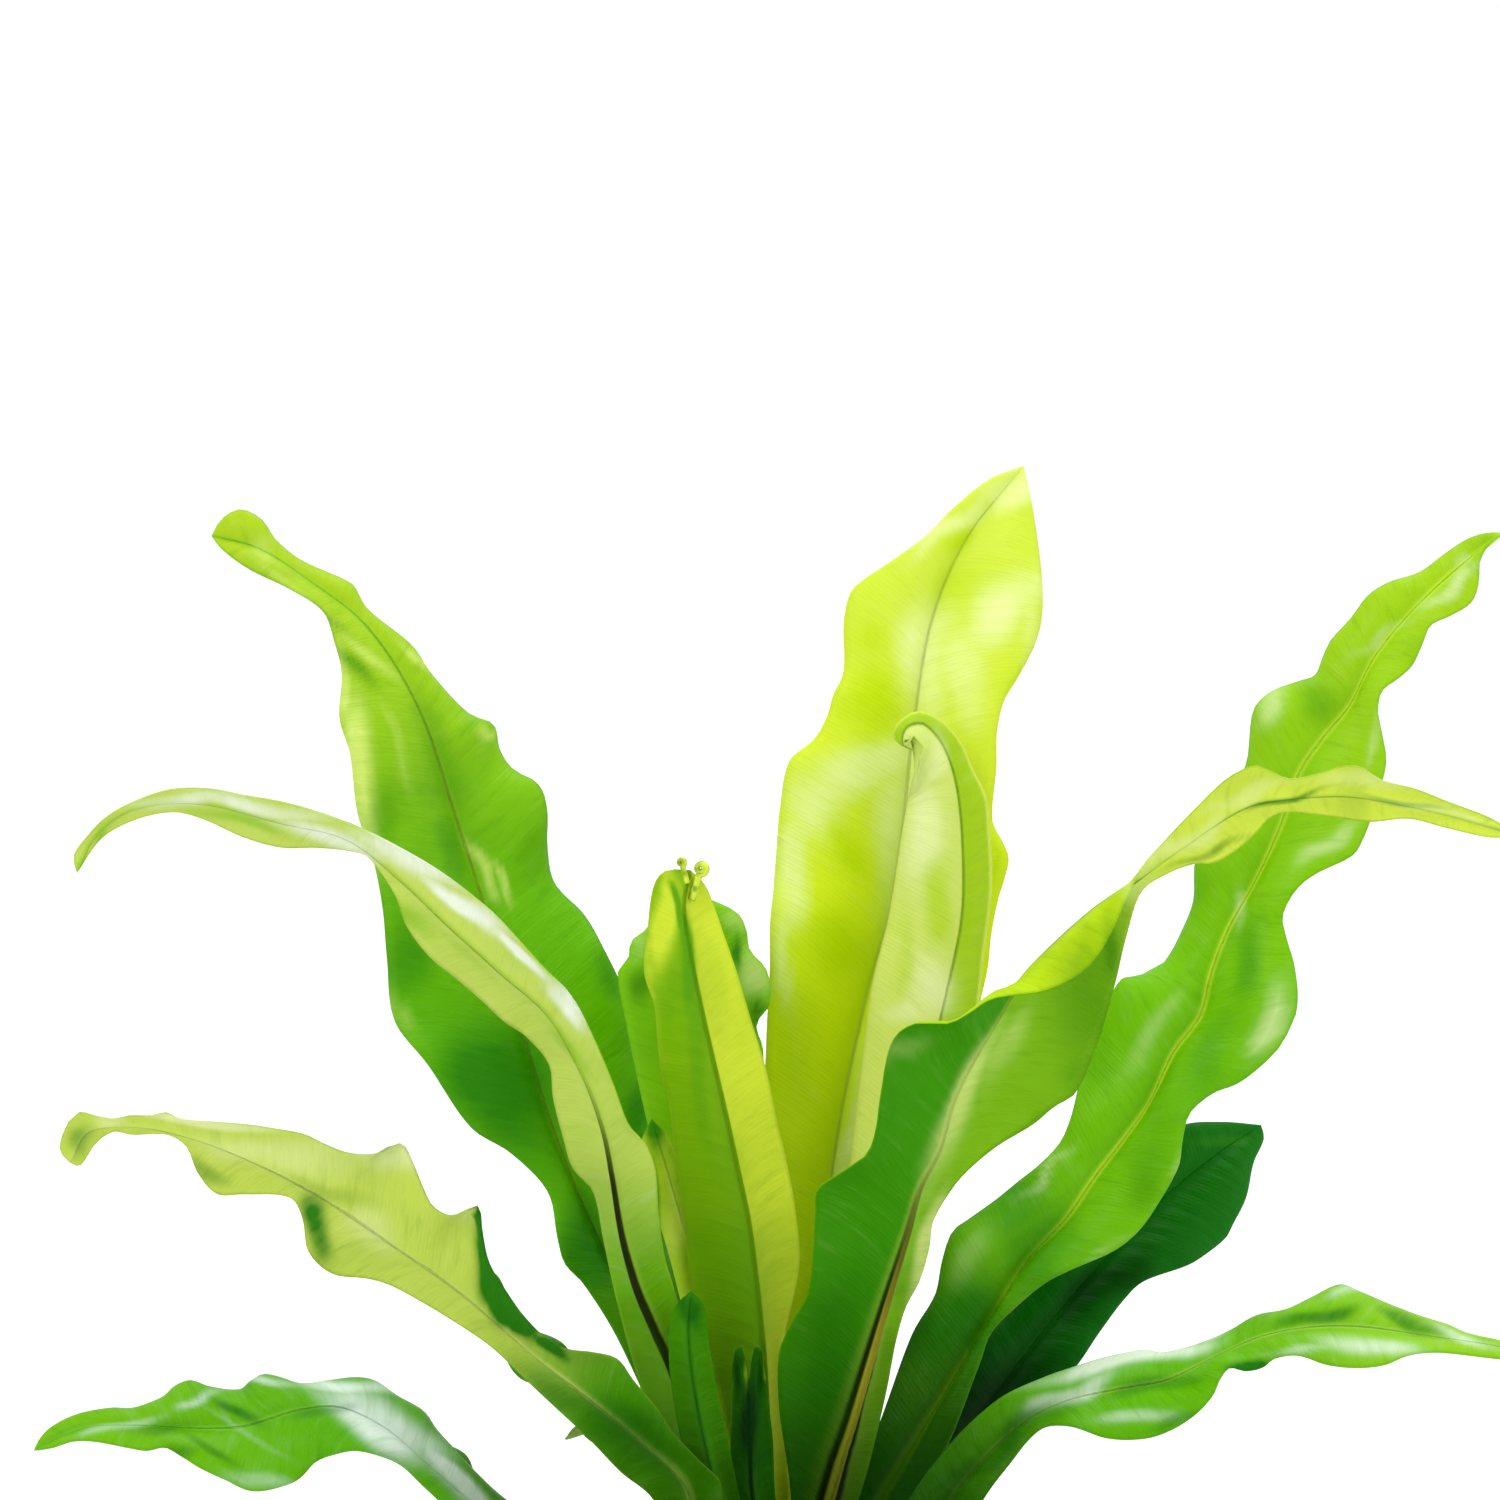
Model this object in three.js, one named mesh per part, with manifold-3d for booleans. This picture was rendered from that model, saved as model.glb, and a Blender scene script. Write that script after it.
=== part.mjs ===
// Bird's nest fern in a plain round pot. Millimetres, +Z up, origin at the middle of the pot's underside.
// Pot, potting mix and crown are turned about +Z. Every frond is one thin blade standing in its own hole in
// the crown: a stalk that opens into a strap with a raised rib underneath and waved margins.
import * as THREE from "three";
import { mergeVertices } from "three/addons/utils/BufferGeometryUtils.js";
import Module from "manifold-3d";

const wasm = await Module();
wasm.setup();

// Pot
const POT_HEIGHT = 130;
const POT_TOP_RADIUS = 75;
const POT_BASE_RADIUS = 50;
const POT_WALL = 5;
const POT_FLOOR = 7;
const FOOT_BEVEL = 1.5;
const RIM_HEIGHT = 20;
const RIM_STEP = 3;
const RIM_ROUND = 1.5;
const RIM_UNDERCUT = 0.8;
const POT_SIDES = 48;
const DRAIN_HOLES = 4;
const DRAIN_RING = 28;
const DRAIN_RADIUS = 4.5;
const DRAIN_SIDES = 16;

// Potting mix
const MIX_BELOW_RIM = 13;
const MIX_LUMP = 1.6;
const MIX_WALL_DEEP = 7;
const MIX_EDGE_DEEP = 2;
const MIX_RINGS = { outer: 60, inner: 36, steps: 3 };
const MIX_SIDES = 36;
const GAP = 0.5;

// Crown
const CROWN_RADIUS = 31;
const CROWN_FOOT = 104;
const CROWN_SHOULDER = 112;
const CROWN_TOP = 133;
const CROWN_SIDES = 32;
const CROWN_STEPS = 6;
const CROWN_BEVEL = 3;

// Fronds
const OUTER_RING = { radius: 23.5, lean: 15 };
const MIDDLE_RING = { radius: 14.5, lean: 8 };
const INNER_RING = { radius: 5, lean: 4 };
const STALK_HALF = 2.8;
const STALK_THICK = 2.2;
const STALK_DEEP = 7;
const STALK_NECK = 6;
const HOLE_RADIUS = 3.8;
const HOLE_SIDES = 10;
const BLADE_THICK = 0.9;
const TIP_HALF = 0.7;
const RIB_HEIGHT = 1.5;
const LONG_ROWS = 31;
const SHORT_ROWS = 17;
const HIDDEN_ROWS = 20;
const ROW_EASE = 0.18;
const COLUMNS = [-1, -0.5, 0, 0.5, 1];
const CHANNEL = 0.14;
const STALK_SHARE = 0.16;
const TURN_SHARE = 0.25;
const WIDEN_SHARE = 0.42;
const TAPER_FROM = 0.55;
const FRILL = 0.09;
const FRILL_LIFT = 3.2;
const EDGE_CURVE = 1.6;
const RIB_FADE = 0.75;
const EDGE_SAMPLES = 240;
const LEAST_KEY_STEP = 0.004;
const CURL_SIDES = 12;
const CURL_FLAT = 0.7;
const CURL_NECK = 0.8;

// Colours of the pot, the mix, the crown and the fronds that the front view hides
const CLAY = 0xb5623c;
const PEAT = 0x3a2a1d;
const BROWN_SCALES = 0x4b3220;
const LEAF_GREEN = 0x3f8f16;

// The eye that saw the plant. A frond's line is written as it was seen: across and up on the upright plane
// through the pot's axis, then how far behind that plane it truly lies.
const EYE = [-9, -1369.4, 709.1];

const round4 = (v) => Math.round(v * 1e4) / 1e4;
const add = (p, q) => p.map((v, i) => v + q[i]);
const sub = (p, q) => p.map((v, i) => v - q[i]);
const times = (p, k) => p.map((v) => v * k);
const mix = (p, q, k) => p.map((v, i) => v + (q[i] - v) * k);
const size = (p) => Math.hypot(...p);
const unit = (p) => times(p, 1 / (size(p) || 1));
const cross = (p, q) => [
  p[1] * q[2] - p[2] * q[1],
  p[2] * q[0] - p[0] * q[2],
  p[0] * q[1] - p[1] * q[0],
];

function place([across, up, back]) {
  const k = back / -EYE[1];
  return [across + (across - EYE[0]) * k, back, up + (up - EYE[2]) * k];
}

function seen([x, y, z]) {
  const k = y / -EYE[1];
  return [(x + EYE[0] * k) / (1 + k), (z + EYE[2] * k) / (1 + k), y];
}

// Smooth line through points at rising keys.
function through(keys, points) {
  const last = points.length - 1;
  const slope = (i) => {
    const [h, j] = [Math.max(0, i - 1), Math.min(last, i + 1)];
    return times(sub(points[j], points[h]), 1 / (keys[j] - keys[h]));
  };
  return (s) => {
    let i = 0;
    while (i < last - 1 && s > keys[i + 1]) i++;
    const span = keys[i + 1] - keys[i];
    const k = (s - keys[i]) / span;
    const held = mix(points[i], points[i + 1], k * k * (3 - 2 * k));
    const start = times(slope(i), span * k * (1 - k) * (1 - k));
    return add(add(held, start), times(slope(i + 1), -span * k * k * (1 - k)));
  };
}

// Keys from 0 to 1 by distance along the points.
function byLength(points) {
  const run = [0];
  for (let i = 1; i < points.length; i++)
    run.push(run[i - 1] + size(sub(points[i], points[i - 1])));
  return run.map((v) => v / run[run.length - 1]);
}

// Height of the crown's surface at a radius.
const crownHeight = (r) =>
  CROWN_SHOULDER +
  (CROWN_TOP - CROWN_SHOULDER) * Math.sqrt(Math.max(0, 1 - (r / CROWN_RADIUS) ** 2));

// The foot of a frond: points on its rib at the bottom of its hole, where it leaves the crown and just
// above, with the way the hole runs and the way the stalk faces.
function stalk([ring, azimuth]) {
  const turn = (azimuth * Math.PI) / 180;
  const tilt = (ring.lean * Math.PI) / 180;
  const out = [Math.cos(turn), Math.sin(turn), 0];
  const rise = add(times(out, Math.sin(tilt)), [0, 0, Math.cos(tilt)]);
  const surface = [ring.radius * out[0], ring.radius * out[1], crownHeight(ring.radius)];
  return {
    rise,
    side: [out[1], -out[0], 0],
    points: [-STALK_DEEP, 0, STALK_NECK].map((k) => add(surface, times(rise, k))),
  };
}

// An edge seen beside the rib: each reading takes the key of the nearest rib point, and a reading without
// a third number takes its distance behind the rib from its neighbours.
function edgeLine(rib, keys, ends, readings) {
  const found = keys.slice(0, ends.length);
  const points = [...ends, ...readings];
  const behind = points.map((p) => p[2]);
  readings.forEach(([a, u], n) => {
    let best = 0;
    let least = Infinity;
    for (let i = 0; i <= EDGE_SAMPLES; i++) {
      const p = rib(i / EDGE_SAMPLES);
      const d = Math.hypot(p[0] - a, p[1] - u);
      if (d < least) [least, best] = [d, i / EDGE_SAMPLES];
    }
    const before = found[found.length - 1] + LEAST_KEY_STEP;
    const room = LEAST_KEY_STEP * (readings.length - n);
    found.push(Math.max(before, Math.min(best, 1 - room)));
  });
  found[found.length - 1] = 1;
  behind[behind.length - 1] = 0;
  const known = behind.map((v, i) => i).filter((i) => behind[i] !== undefined);
  points.forEach((p, i) => {
    if (behind[i] !== undefined) return;
    const after = known.find((k) => k > i);
    const before = known[known.indexOf(after) - 1];
    const share = (found[i] - found[before]) / (found[after] - found[before]);
    behind[i] = behind[before] + (behind[after] - behind[before]) * share;
  });
  return through(
    found,
    points.map((p, i) => [p[0], p[1], behind[i]]),
  );
}

// Blade of a frond read from the front: rib and two edges as seen. A notch parts the tip over the rib.
function readBlade({ root, rib, a, b, under, ripple = 2.5, waves = 7, phase = 0, notch = 0 }) {
  const { side, points } = stalk(root);
  const line = [...points.map(seen), ...rib];
  const keys = byLength(line.map(place));
  const ribAt = through(keys, line);
  const ends = (sign) =>
    points.map((p) => {
      const e = seen(add(p, times(side, sign * STALK_HALF)));
      return [e[0], e[1], e[2] - p[1]];
    });
  const left = edgeLine(ribAt, keys, ends(-1), under ? b : a);
  const right = edgeLine(ribAt, keys, ends(1), under ? a : b);
  return (share, t) => {
    const reach = Math.abs(t);
    const s = share * (1 - notch * Math.max(0, 1 - 2 * reach));
    const c = ribAt(s);
    const e = (t < 0 ? left : right)(s);
    const wave =
      ripple *
      reach ** EDGE_CURVE *
      Math.sin(Math.PI * Math.min(1, s * 1.15)) *
      Math.sin(2 * Math.PI * waves * s + phase + (t < 0 ? 2 : 0));
    return place([
      c[0] + (e[0] - c[0]) * reach,
      c[1] + (e[1] - c[1]) * reach,
      c[2] + e[2] * reach + wave,
    ]);
  };
}

// Blade of a frond on a side the front view hides: its rib as it would be seen, its width by rule.
function ruledBlade({ root, rib, half, roll = 0, droop = 8, waves = 7, phase = 0 }) {
  const { side, points } = stalk(root);
  const line = [...points, ...rib.map(place)];
  const keys = byLength(line);
  const ribAt = through(keys, line);
  return (s, t) => {
    const c = ribAt(s);
    const way = unit(sub(ribAt(Math.min(1, s + 0.02)), ribAt(Math.max(0, s - 0.02))));
    const level = unit(cross(way, [0, 0, 1]));
    const rest = Math.min(1, s / TURN_SHARE);
    const flat = unit(mix(side, level, rest));
    const top = unit(cross(flat, way));
    const turn = ((roll * rest + t * droop * rest) * Math.PI) / 180;
    const out = add(times(flat, Math.cos(turn)), times(top, Math.sin(turn)));
    const grown = Math.min(1, Math.max(0, (s - keys[2]) / WIDEN_SHARE));
    const past = Math.max(0, (s - TAPER_FROM) / (1 - TAPER_FROM));
    const taper = Math.sqrt(Math.max(0, 1 - past ** 2));
    const beat = 2 * Math.PI * waves * s + phase + (t < 0 ? 2.4 : 0);
    const frill = 1 + FRILL * Math.sin(beat) * grown;
    const width = Math.max(TIP_HALF, (STALK_HALF + (half - STALK_HALF) * grown) * taper * frill);
    const lift = FRILL_LIFT * grown * taper * Math.abs(t) ** EDGE_CURVE * Math.cos(beat);
    return add(add(c, times(out, t * width)), times(top, lift));
  };
}

// Closed solid of a blade: upper and lower faces split alike, rib raised along the lower one.
function blade(shape, rows) {
  const count = COLUMNS.length;
  const stations = Array.from({ length: rows }, (_, i) => {
    const k = i / (rows - 1);
    return k * (1 + ROW_EASE - ROW_EASE * k);
  });
  const grid = [];
  for (const s of stations) {
    const rib = shape(s, 0);
    const row = COLUMNS.map((t) => shape(s, t));
    [0, count - 1].forEach((j) => {
      const out = sub(row[j], rib);
      const least = TIP_HALF / (size(out) || 1);
      if (least > 1) row[j] = add(rib, times(out, least));
    });
    grid.push(row);
  }
  const normalAt = (i, j) => {
    const across = sub(grid[i][Math.min(count - 1, j + 1)], grid[i][Math.max(0, j - 1)]);
    const along = sub(grid[Math.min(rows - 1, i + 1)][j], grid[Math.max(0, i - 1)][j]);
    return unit(cross(across, along));
  };
  const upper = [];
  const lower = [];
  for (let i = 0; i < rows; i++) {
    const s = stations[i];
    const young = Math.max(0, 1 - s / STALK_SHARE);
    const thick = BLADE_THICK + (STALK_THICK - BLADE_THICK) * young;
    for (let j = 0; j < count; j++) {
      const n = normalAt(i, j);
      const reach = Math.abs(COLUMNS[j]);
      const width = size(sub(grid[i][j < 2 ? 0 : count - 1], grid[i][2]));
      const arch = reach === 0.5 ? CHANNEL * width : 0;
      const rib = reach === 0 ? RIB_HEIGHT * (1 - RIB_FADE * s) : 0;
      const p = add(grid[i][j], times(n, arch));
      upper.push(add(p, times(n, thick / 2)));
      lower.push(add(p, times(n, -thick / 2 - rib)));
    }
  }
  const points = [...upper, ...lower].map((p) => p.map(round4));
  const faces = [];
  const under = rows * count;
  const quad = (p, q, r, s) => faces.push(p, q, r, p, r, s);
  for (let i = 0; i < rows - 1; i++)
    for (let j = 0; j < count - 1; j++) {
      const p = i * count + j;
      quad(p, p + 1, p + 1 + count, p + count);
      faces.push(under + p, under + p + 1 + count, under + p + 1);
      faces.push(under + p, under + p + count, under + p + 1 + count);
    }
  for (let i = 0; i < rows - 1; i++) {
    const l = i * count;
    const r = l + count - 1;
    quad(l, l + count, under + l + count, under + l);
    quad(r, under + r, under + r + count, r + count);
  }
  const end = (rows - 1) * count;
  for (let j = 0; j < count - 1; j++) {
    quad(j, under + j, under + j + 1, j + 1);
    quad(end + j, end + j + 1, under + end + j + 1, under + end + j);
  }
  const made = new THREE.BufferGeometry();
  made.setAttribute("position", new THREE.Float32BufferAttribute(points.flat(), 3));
  made.setIndex(faces);
  return made;
}

function solid(source) {
  const bare = source.clone();
  bare.deleteAttribute("normal");
  bare.deleteAttribute("uv");
  const closed = mergeVertices(bare, 1e-3);
  return new wasm.Manifold(
    new wasm.Mesh({
      numProp: 3,
      vertProperties: closed.attributes.position.array,
      triVerts: new Uint32Array(closed.index.array),
    }),
  );
}

function geometry(made) {
  const { vertProperties, triVerts } = made.getMesh();
  const out = new THREE.BufferGeometry();
  out.setAttribute("position", new THREE.BufferAttribute(vertProperties, 3));
  out.setIndex(new THREE.BufferAttribute(triVerts, 1));
  out.computeVertexNormals();
  return out;
}

// Profile of [radius, height] pairs turned about +Z.
function turned(profile, sides) {
  const shape = new THREE.LatheGeometry(
    profile.map(([r, z]) => new THREE.Vector2(r, z)),
    sides,
  );
  shape.rotateX(Math.PI / 2);
  return shape;
}

const plant = new THREE.Group();
plant.name = "potted_birds_nest_fern";

function piece(name, shape, colour, roughness) {
  const mesh = new THREE.Mesh(
    shape,
    new THREE.MeshStandardMaterial({ color: colour, roughness, metalness: 0 }),
  );
  mesh.name = name;
  plant.add(mesh);
  return mesh;
}

// Pot: one turned shell with a plain stepped rim and four drain holes round a solid middle
const slope = (POT_TOP_RADIUS - RIM_STEP - POT_BASE_RADIUS) / (POT_HEIGHT - RIM_HEIGHT);
const innerRadius = (z) => POT_BASE_RADIUS + slope * z - POT_WALL;
const potShell = solid(
  turned(
    [
      [0, 0],
      [POT_BASE_RADIUS - FOOT_BEVEL, 0],
      [POT_BASE_RADIUS, FOOT_BEVEL],
      [POT_TOP_RADIUS - RIM_STEP, POT_HEIGHT - RIM_HEIGHT],
      [POT_TOP_RADIUS - RIM_UNDERCUT, POT_HEIGHT - RIM_HEIGHT + RIM_UNDERCUT],
      [POT_TOP_RADIUS, POT_HEIGHT - RIM_ROUND],
      [POT_TOP_RADIUS - RIM_ROUND, POT_HEIGHT],
      [POT_TOP_RADIUS - POT_WALL - RIM_STEP + RIM_ROUND, POT_HEIGHT],
      [POT_TOP_RADIUS - POT_WALL - RIM_STEP, POT_HEIGHT - RIM_ROUND],
      [innerRadius(POT_HEIGHT - RIM_HEIGHT), POT_HEIGHT - RIM_HEIGHT],
      [innerRadius(POT_FLOOR), POT_FLOOR],
      [0, POT_FLOOR],
    ],
    POT_SIDES,
  ),
);
let pot = potShell;
for (let i = 0; i < DRAIN_HOLES; i++) {
  const hole = new THREE.CylinderGeometry(DRAIN_RADIUS, DRAIN_RADIUS, 2 * POT_FLOOR, DRAIN_SIDES);
  hole.rotateX(Math.PI / 2);
  const turn = ((i + 0.5) * 2 * Math.PI) / DRAIN_HOLES;
  hole.translate(DRAIN_RING * Math.cos(turn), DRAIN_RING * Math.sin(turn), POT_FLOOR / 2);
  pot = pot.subtract(solid(hole));
}
piece("pot", geometry(pot), CLAY, 0.85);

// Potting mix: fills the pot to below its rim, lumpy on top, with a round hollow that takes the crown
const mixTop = POT_HEIGHT - MIX_BELOW_RIM;
const mixFoot = POT_FLOOR + GAP;
const mixWall = innerRadius(mixTop - MIX_WALL_DEEP) - GAP;
const mixProfile = [
  [0, mixFoot],
  [innerRadius(mixFoot) - GAP, mixFoot],
  [mixWall, mixTop - MIX_WALL_DEEP],
  [mixWall, mixTop - MIX_EDGE_DEEP],
];
for (let i = 0; i <= MIX_RINGS.steps; i++) {
  const inward = (i / MIX_RINGS.steps) * (MIX_RINGS.outer - MIX_RINGS.inner);
  mixProfile.push([MIX_RINGS.outer - inward, mixTop]);
}
mixProfile.push(
  [CROWN_RADIUS + GAP, mixTop - MIX_EDGE_DEEP / 2],
  [CROWN_RADIUS + GAP, CROWN_FOOT - GAP],
  [0, CROWN_FOOT - GAP],
);
const mixShape = turned(mixProfile, MIX_SIDES);
const lumps = mixShape.attributes.position;
for (let i = 0; i < lumps.count; i++) {
  const [x, y, z] = [lumps.getX(i), lumps.getY(i), lumps.getZ(i)];
  if (z < mixTop - 0.5) continue;
  const broad = Math.sin(0.31 * x + 1.3) * Math.cos(0.27 * y);
  const wave = broad + 0.6 * Math.sin(0.55 * (x + y)) * Math.sin(0.43 * (x - y));
  lumps.setZ(i, z + MIX_LUMP * wave);
}
piece("potting_mix", geometry(solid(mixShape)), PEAT, 1);

// Fronds that show in front view. Each is root [ring, azimuth, lean in degrees], the rib, and the edge on
// each side of it, a on the left of the way it grows and b on the right, as seen.
const SEEN = {
  frond_tall: {
    root: [MIDDLE_RING, 72],
    rib: [
      [6, 200, 21], [12, 250, 28], [18, 300, 38], [27, 345, 48], [33, 367, 53], [37, 394, 60],
      [40, 425, 68], [45, 457, 78], [55, 482, 86], [72, 504, 96],
    ],
    a: [
      [0, 200, -3], [-4, 240, -4], [-5, 290, -5], [-4, 330, -6], [-3, 350], [-3, 363], [-2, 374],
      [-1, 388], [0, 400], [3, 415], [10, 421], [14, 428], [16, 435], [19, 442], [19, 457, -7],
      [21, 466], [25, 470], [31, 474], [42, 482], [51, 491], [62, 500, -3], [72, 504],
    ],
    b: [
      [13, 200, -3], [28, 250, -3], [44, 295, -4], [58, 330, -5], [63, 350], [64, 361], [66, 372],
      [68, 379], [69, 385], [67, 390], [64, 396], [65, 413], [65, 423], [67, 433], [71, 440],
      [76, 450], [78, 458], [78, 470, -8], [76, 485], [74, 496, -3], [72, 504],
    ],
    waves: 6,
    colour: 0xbfd630,
  },
  frond_hooked: {
    root: [INNER_RING, 40],
    rib: [
      [14, 200, 11], [30, 260, 17], [43, 310, 24], [51, 345, 30], [55, 367, 34], [55, 388, 38],
      [53, 407, 41], [49, 419, 42], [43, 426, 41], [38, 425, 39], [37, 420, 37], [40, 418, 36],
    ],
    a: [
      [8, 200, -2], [18, 260, -3], [25, 320, -4], [28, 345, -4], [33, 367, -4], [37, 394, -5],
      [40, 409, -6], [43, 417, -6], [42, 422, -5], [39, 422, -4], [40, 418],
    ],
    b: [
      [20, 200, 2], [42, 260, 4], [57, 310, 5], [61, 345, 5], [62, 356, 5], [64, 375], [63, 396, 5],
      [62, 404], [58, 412, 5], [54, 421], [48, 427, 5], [41, 430], [36, 427, 4], [34, 422, 4],
      [40, 418],
    ],
    ripple: 1.2,
    waves: 5,
    colour: 0xc9da4a,
  },
  frond_small_back: {
    root: [INNER_RING, 150],
    rib: [
      [-9, 200, 13], [-15, 250, 17], [-20, 300, 21], [-24, 340, 25], [-27, 366, 27], [-28, 375, 28],
    ],
    a: [
      [-16, 200, -2], [-28, 250, -2], [-40, 300, -3], [-47, 335, -4], [-49, 350, -4], [-46, 353],
      [-45, 359], [-42, 361], [-36, 368, -2], [-28, 375],
    ],
    b: [
      [-5, 200, 1], [-5, 250, 1], [-5, 300, 0], [-5, 325, -1], [-7, 333, -2], [-3, 339, -4],
      [-4, 350, -4], [-9, 356], [-10, 362], [-13, 368], [-19, 371, -1], [-28, 375],
    ],
    ripple: 1.5,
    waves: 6,
    short: true,
    colour: 0x4c9c14,
  },
  frond_folded: {
    root: [INNER_RING, 265],
    under: true,
    rib: [
      [-3, 185, -14], [-5, 228, -19], [-9, 267, -22], [-13, 288, -23], [-17, 307, -23],
      [-21, 325, -22], [-24, 339, -21], [-27, 355, -19], [-29, 370, -16], [-27, 381, -13],
    ],
    a: [
      [-12, 185, 4], [-22, 228, 7], [-27, 250, 9], [-29, 272, 10], [-32, 293, 10], [-34, 310],
      [-36, 317], [-37, 327], [-38, 339, 10], [-41, 349], [-40, 361, 9], [-38, 376, 6], [-34, 381, 3],
      [-27, 381],
    ],
    b: [
      [3, 185, 4], [1, 228, 8], [6, 256, 10], [5, 273], [2, 290, 11], [-1, 303], [-4, 318],
      [-9, 335, 11], [-13, 349], [-17, 361, 9], [-20, 370, 7], [-23, 377, 3], [-27, 381],
    ],
    curls: [
      { from: [0.965, -0.3], at: [-23.8, 381.5, -14], radius: 2.1 },
      { from: [0.985, 0], at: [-29.7, 383.4, -14], radius: 1.3 },
    ],
    ripple: 0.8,
    waves: 6,
    colour: 0x9dc61f,
  },
  frond_bud_front: {
    root: [MIDDLE_RING, 283],
    under: true,
    rib: [[-8, 180, -29], [-9, 200, -33], [-9.5, 215, -35], [-9.5, 229, -36]],
    a: [[-14, 180, 2], [-15, 200, 3], [-15, 213, 3], [-14.5, 222, 2], [-13.5, 229]],
    b: [[-1, 180, 2], [-2, 200, 3], [-3.5, 213, 3], [-4.5, 222, 2], [-5.5, 229]],
    notch: 0.09,
    ripple: 0.4,
    waves: 4,
    short: true,
    colour: 0x1f6a12,
  },
  frond_bud_left: {
    root: [MIDDLE_RING, 249],
    under: true,
    rib: [[-21, 190, -37], [-26, 215, -42], [-28, 235, -46], [-27, 248, -48]],
    a: [[-28, 190, 1], [-33, 215, 2], [-34, 233, 2], [-32, 243, 1], [-27, 248]],
    b: [[-14, 190, 1], [-19, 215, 2], [-22, 233, 2], [-23, 243, 1], [-27, 248]],
    ripple: 0.4,
    waves: 4,
    short: true,
    colour: 0x2b7d14,
  },
  frond_narrow: {
    root: [MIDDLE_RING, 181],
    rib: [[-14, 200, -1], [-21, 235, -3], [-27, 260, -5], [-33, 282, -6], [-39, 303, -7]],
    a: [[-19, 200, 1], [-28, 235, 2], [-34, 260, 2], [-40, 282, 2], [-42, 296, 1], [-39, 303]],
    b: [[-9, 200, 1], [-15, 235, 2], [-21, 260, 2], [-27, 282, 2], [-34, 297, 1], [-39, 303]],
    ripple: 1,
    waves: 6,
    short: true,
    colour: 0x9fc84e,
  },
  frond_upper_left: {
    root: [MIDDLE_RING, 147],
    rib: [
      [-18, 170, 14], [-30, 200, 21], [-45, 240, 29], [-61, 277, 36], [-72, 308, 43], [-84, 352, 52],
      [-97, 395, 61], [-108, 430, 69], [-123, 455, 77], [-140, 469, 82], [-155, 479, 87],
      [-169, 483, 92],
    ],
    a: [
      [-25, 170, -3], [-38, 205, -7], [-50, 233, -10], [-60, 250], [-66, 257, -11], [-68, 265],
      [-71, 280, -12], [-82, 292], [-94, 300, -13], [-107, 320, -14], [-117, 334], [-119, 354, -15],
      [-120, 369], [-123, 386], [-127, 398], [-129, 417, -13], [-132, 428], [-131, 441],
      [-133, 451, -9], [-136, 460], [-146, 467, -7], [-158, 473, -6], [-166, 479, -3], [-169, 483],
    ],
    b: [
      [-12, 170, 2], [-20, 205, 5], [-30, 240, 7], [-37, 280, 8], [-39, 317, 8], [-42, 331],
      [-46, 341], [-52, 354, 8], [-59, 367], [-68, 377, 8], [-70, 388], [-70, 400, 8], [-73, 408],
      [-80, 412], [-84, 418], [-86, 426], [-93, 429, 8], [-104, 441], [-110, 450, 7], [-123, 461],
      [-127, 468], [-130, 470], [-143, 476, 6], [-150, 482], [-154, 488], [-160, 491, 4],
      [-166, 488, 2], [-169, 483],
    ],
    waves: 7,
    colour: 0x55ab0c,
  },
  frond_arching_left: {
    root: [MIDDLE_RING, 215],
    under: true,
    rib: [
      [-19, 175, -22], [-26, 195, -27], [-33, 221, -33], [-39, 236, -37], [-44, 249, -41],
      [-48, 265, -45], [-51, 285, -50], [-54, 301, -54], [-60, 318, -58], [-70, 336, -62],
      [-84, 349, -66], [-100, 364, -70], [-114, 378, -73], [-130, 391, -76], [-150, 396, -79],
      [-175, 402, -82], [-195, 400, -84], [-207, 391, -85], [-212, 380, -85],
    ],
    a: [
      [-27, 175, 4], [-36, 195, 7], [-44, 221, 10], [-50, 245, 12], [-54, 265, 13], [-57, 280, 13],
      [-63, 287], [-66, 297, 13], [-69, 310, 13], [-70, 320], [-77, 329, 13], [-84, 334], [-90, 340],
      [-99, 348, 13], [-106, 354], [-113, 364, 12], [-116, 373], [-124, 385, 10], [-130, 387],
      [-140, 388, 9], [-150, 388], [-161, 391, 7], [-174, 397], [-182, 399, 5], [-193, 397],
      [-203, 392, 3], [-209, 385, 1], [-212, 380],
    ],
    b: [
      [-13, 175, -1], [-17, 195, -2], [-24, 221, -3], [-30, 240, -3], [-33, 251], [-35, 258],
      [-37, 272, -4], [-38, 287], [-41, 295], [-46, 301, -5], [-51, 315, -6], [-60, 336, -9],
      [-65, 344], [-70, 349, -11], [-77, 357], [-87, 368, -12], [-99, 378], [-108, 384, -12],
      [-121, 391], [-130, 395, -10], [-140, 399], [-150, 402, -8], [-161, 404], [-171, 406, -6],
      [-182, 406], [-192, 403, -4], [-203, 397, -3], [-209, 391, -2], [-213, 385, -1], [-212, 380],
    ],
    ripple: 1.5,
    waves: 8,
    colour: 0xb9d36a,
  },
  frond_mid_left: {
    root: [OUTER_RING, 219],
    under: true,
    rib: [
      [-28, 183, -42], [-43, 200, -50], [-58, 213, -57], [-77, 229, -63], [-97, 247, -69],
      [-120, 264, -75], [-143, 280, -80], [-164, 291, -83], [-182, 298, -86], [-198, 301, -88],
      [-211, 299, -89], [-217, 289, -89],
    ],
    a: [
      [-38, 178, 2], [-50, 190, 3], [-59, 200], [-71, 212, 4], [-78, 219], [-89, 230, 5], [-100, 238],
      [-111, 245, 6], [-120, 250], [-127, 252, 7], [-136, 253], [-141, 256, 8], [-145, 262],
      [-146, 271, 7], [-150, 278], [-164, 279, 6], [-172, 279, 5], [-178, 286], [-181, 294, 3],
      [-187, 298], [-198, 298, 2], [-203, 299], [-209, 295, 2], [-214, 288, 1], [-217, 289],
    ],
    b: [
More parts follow.
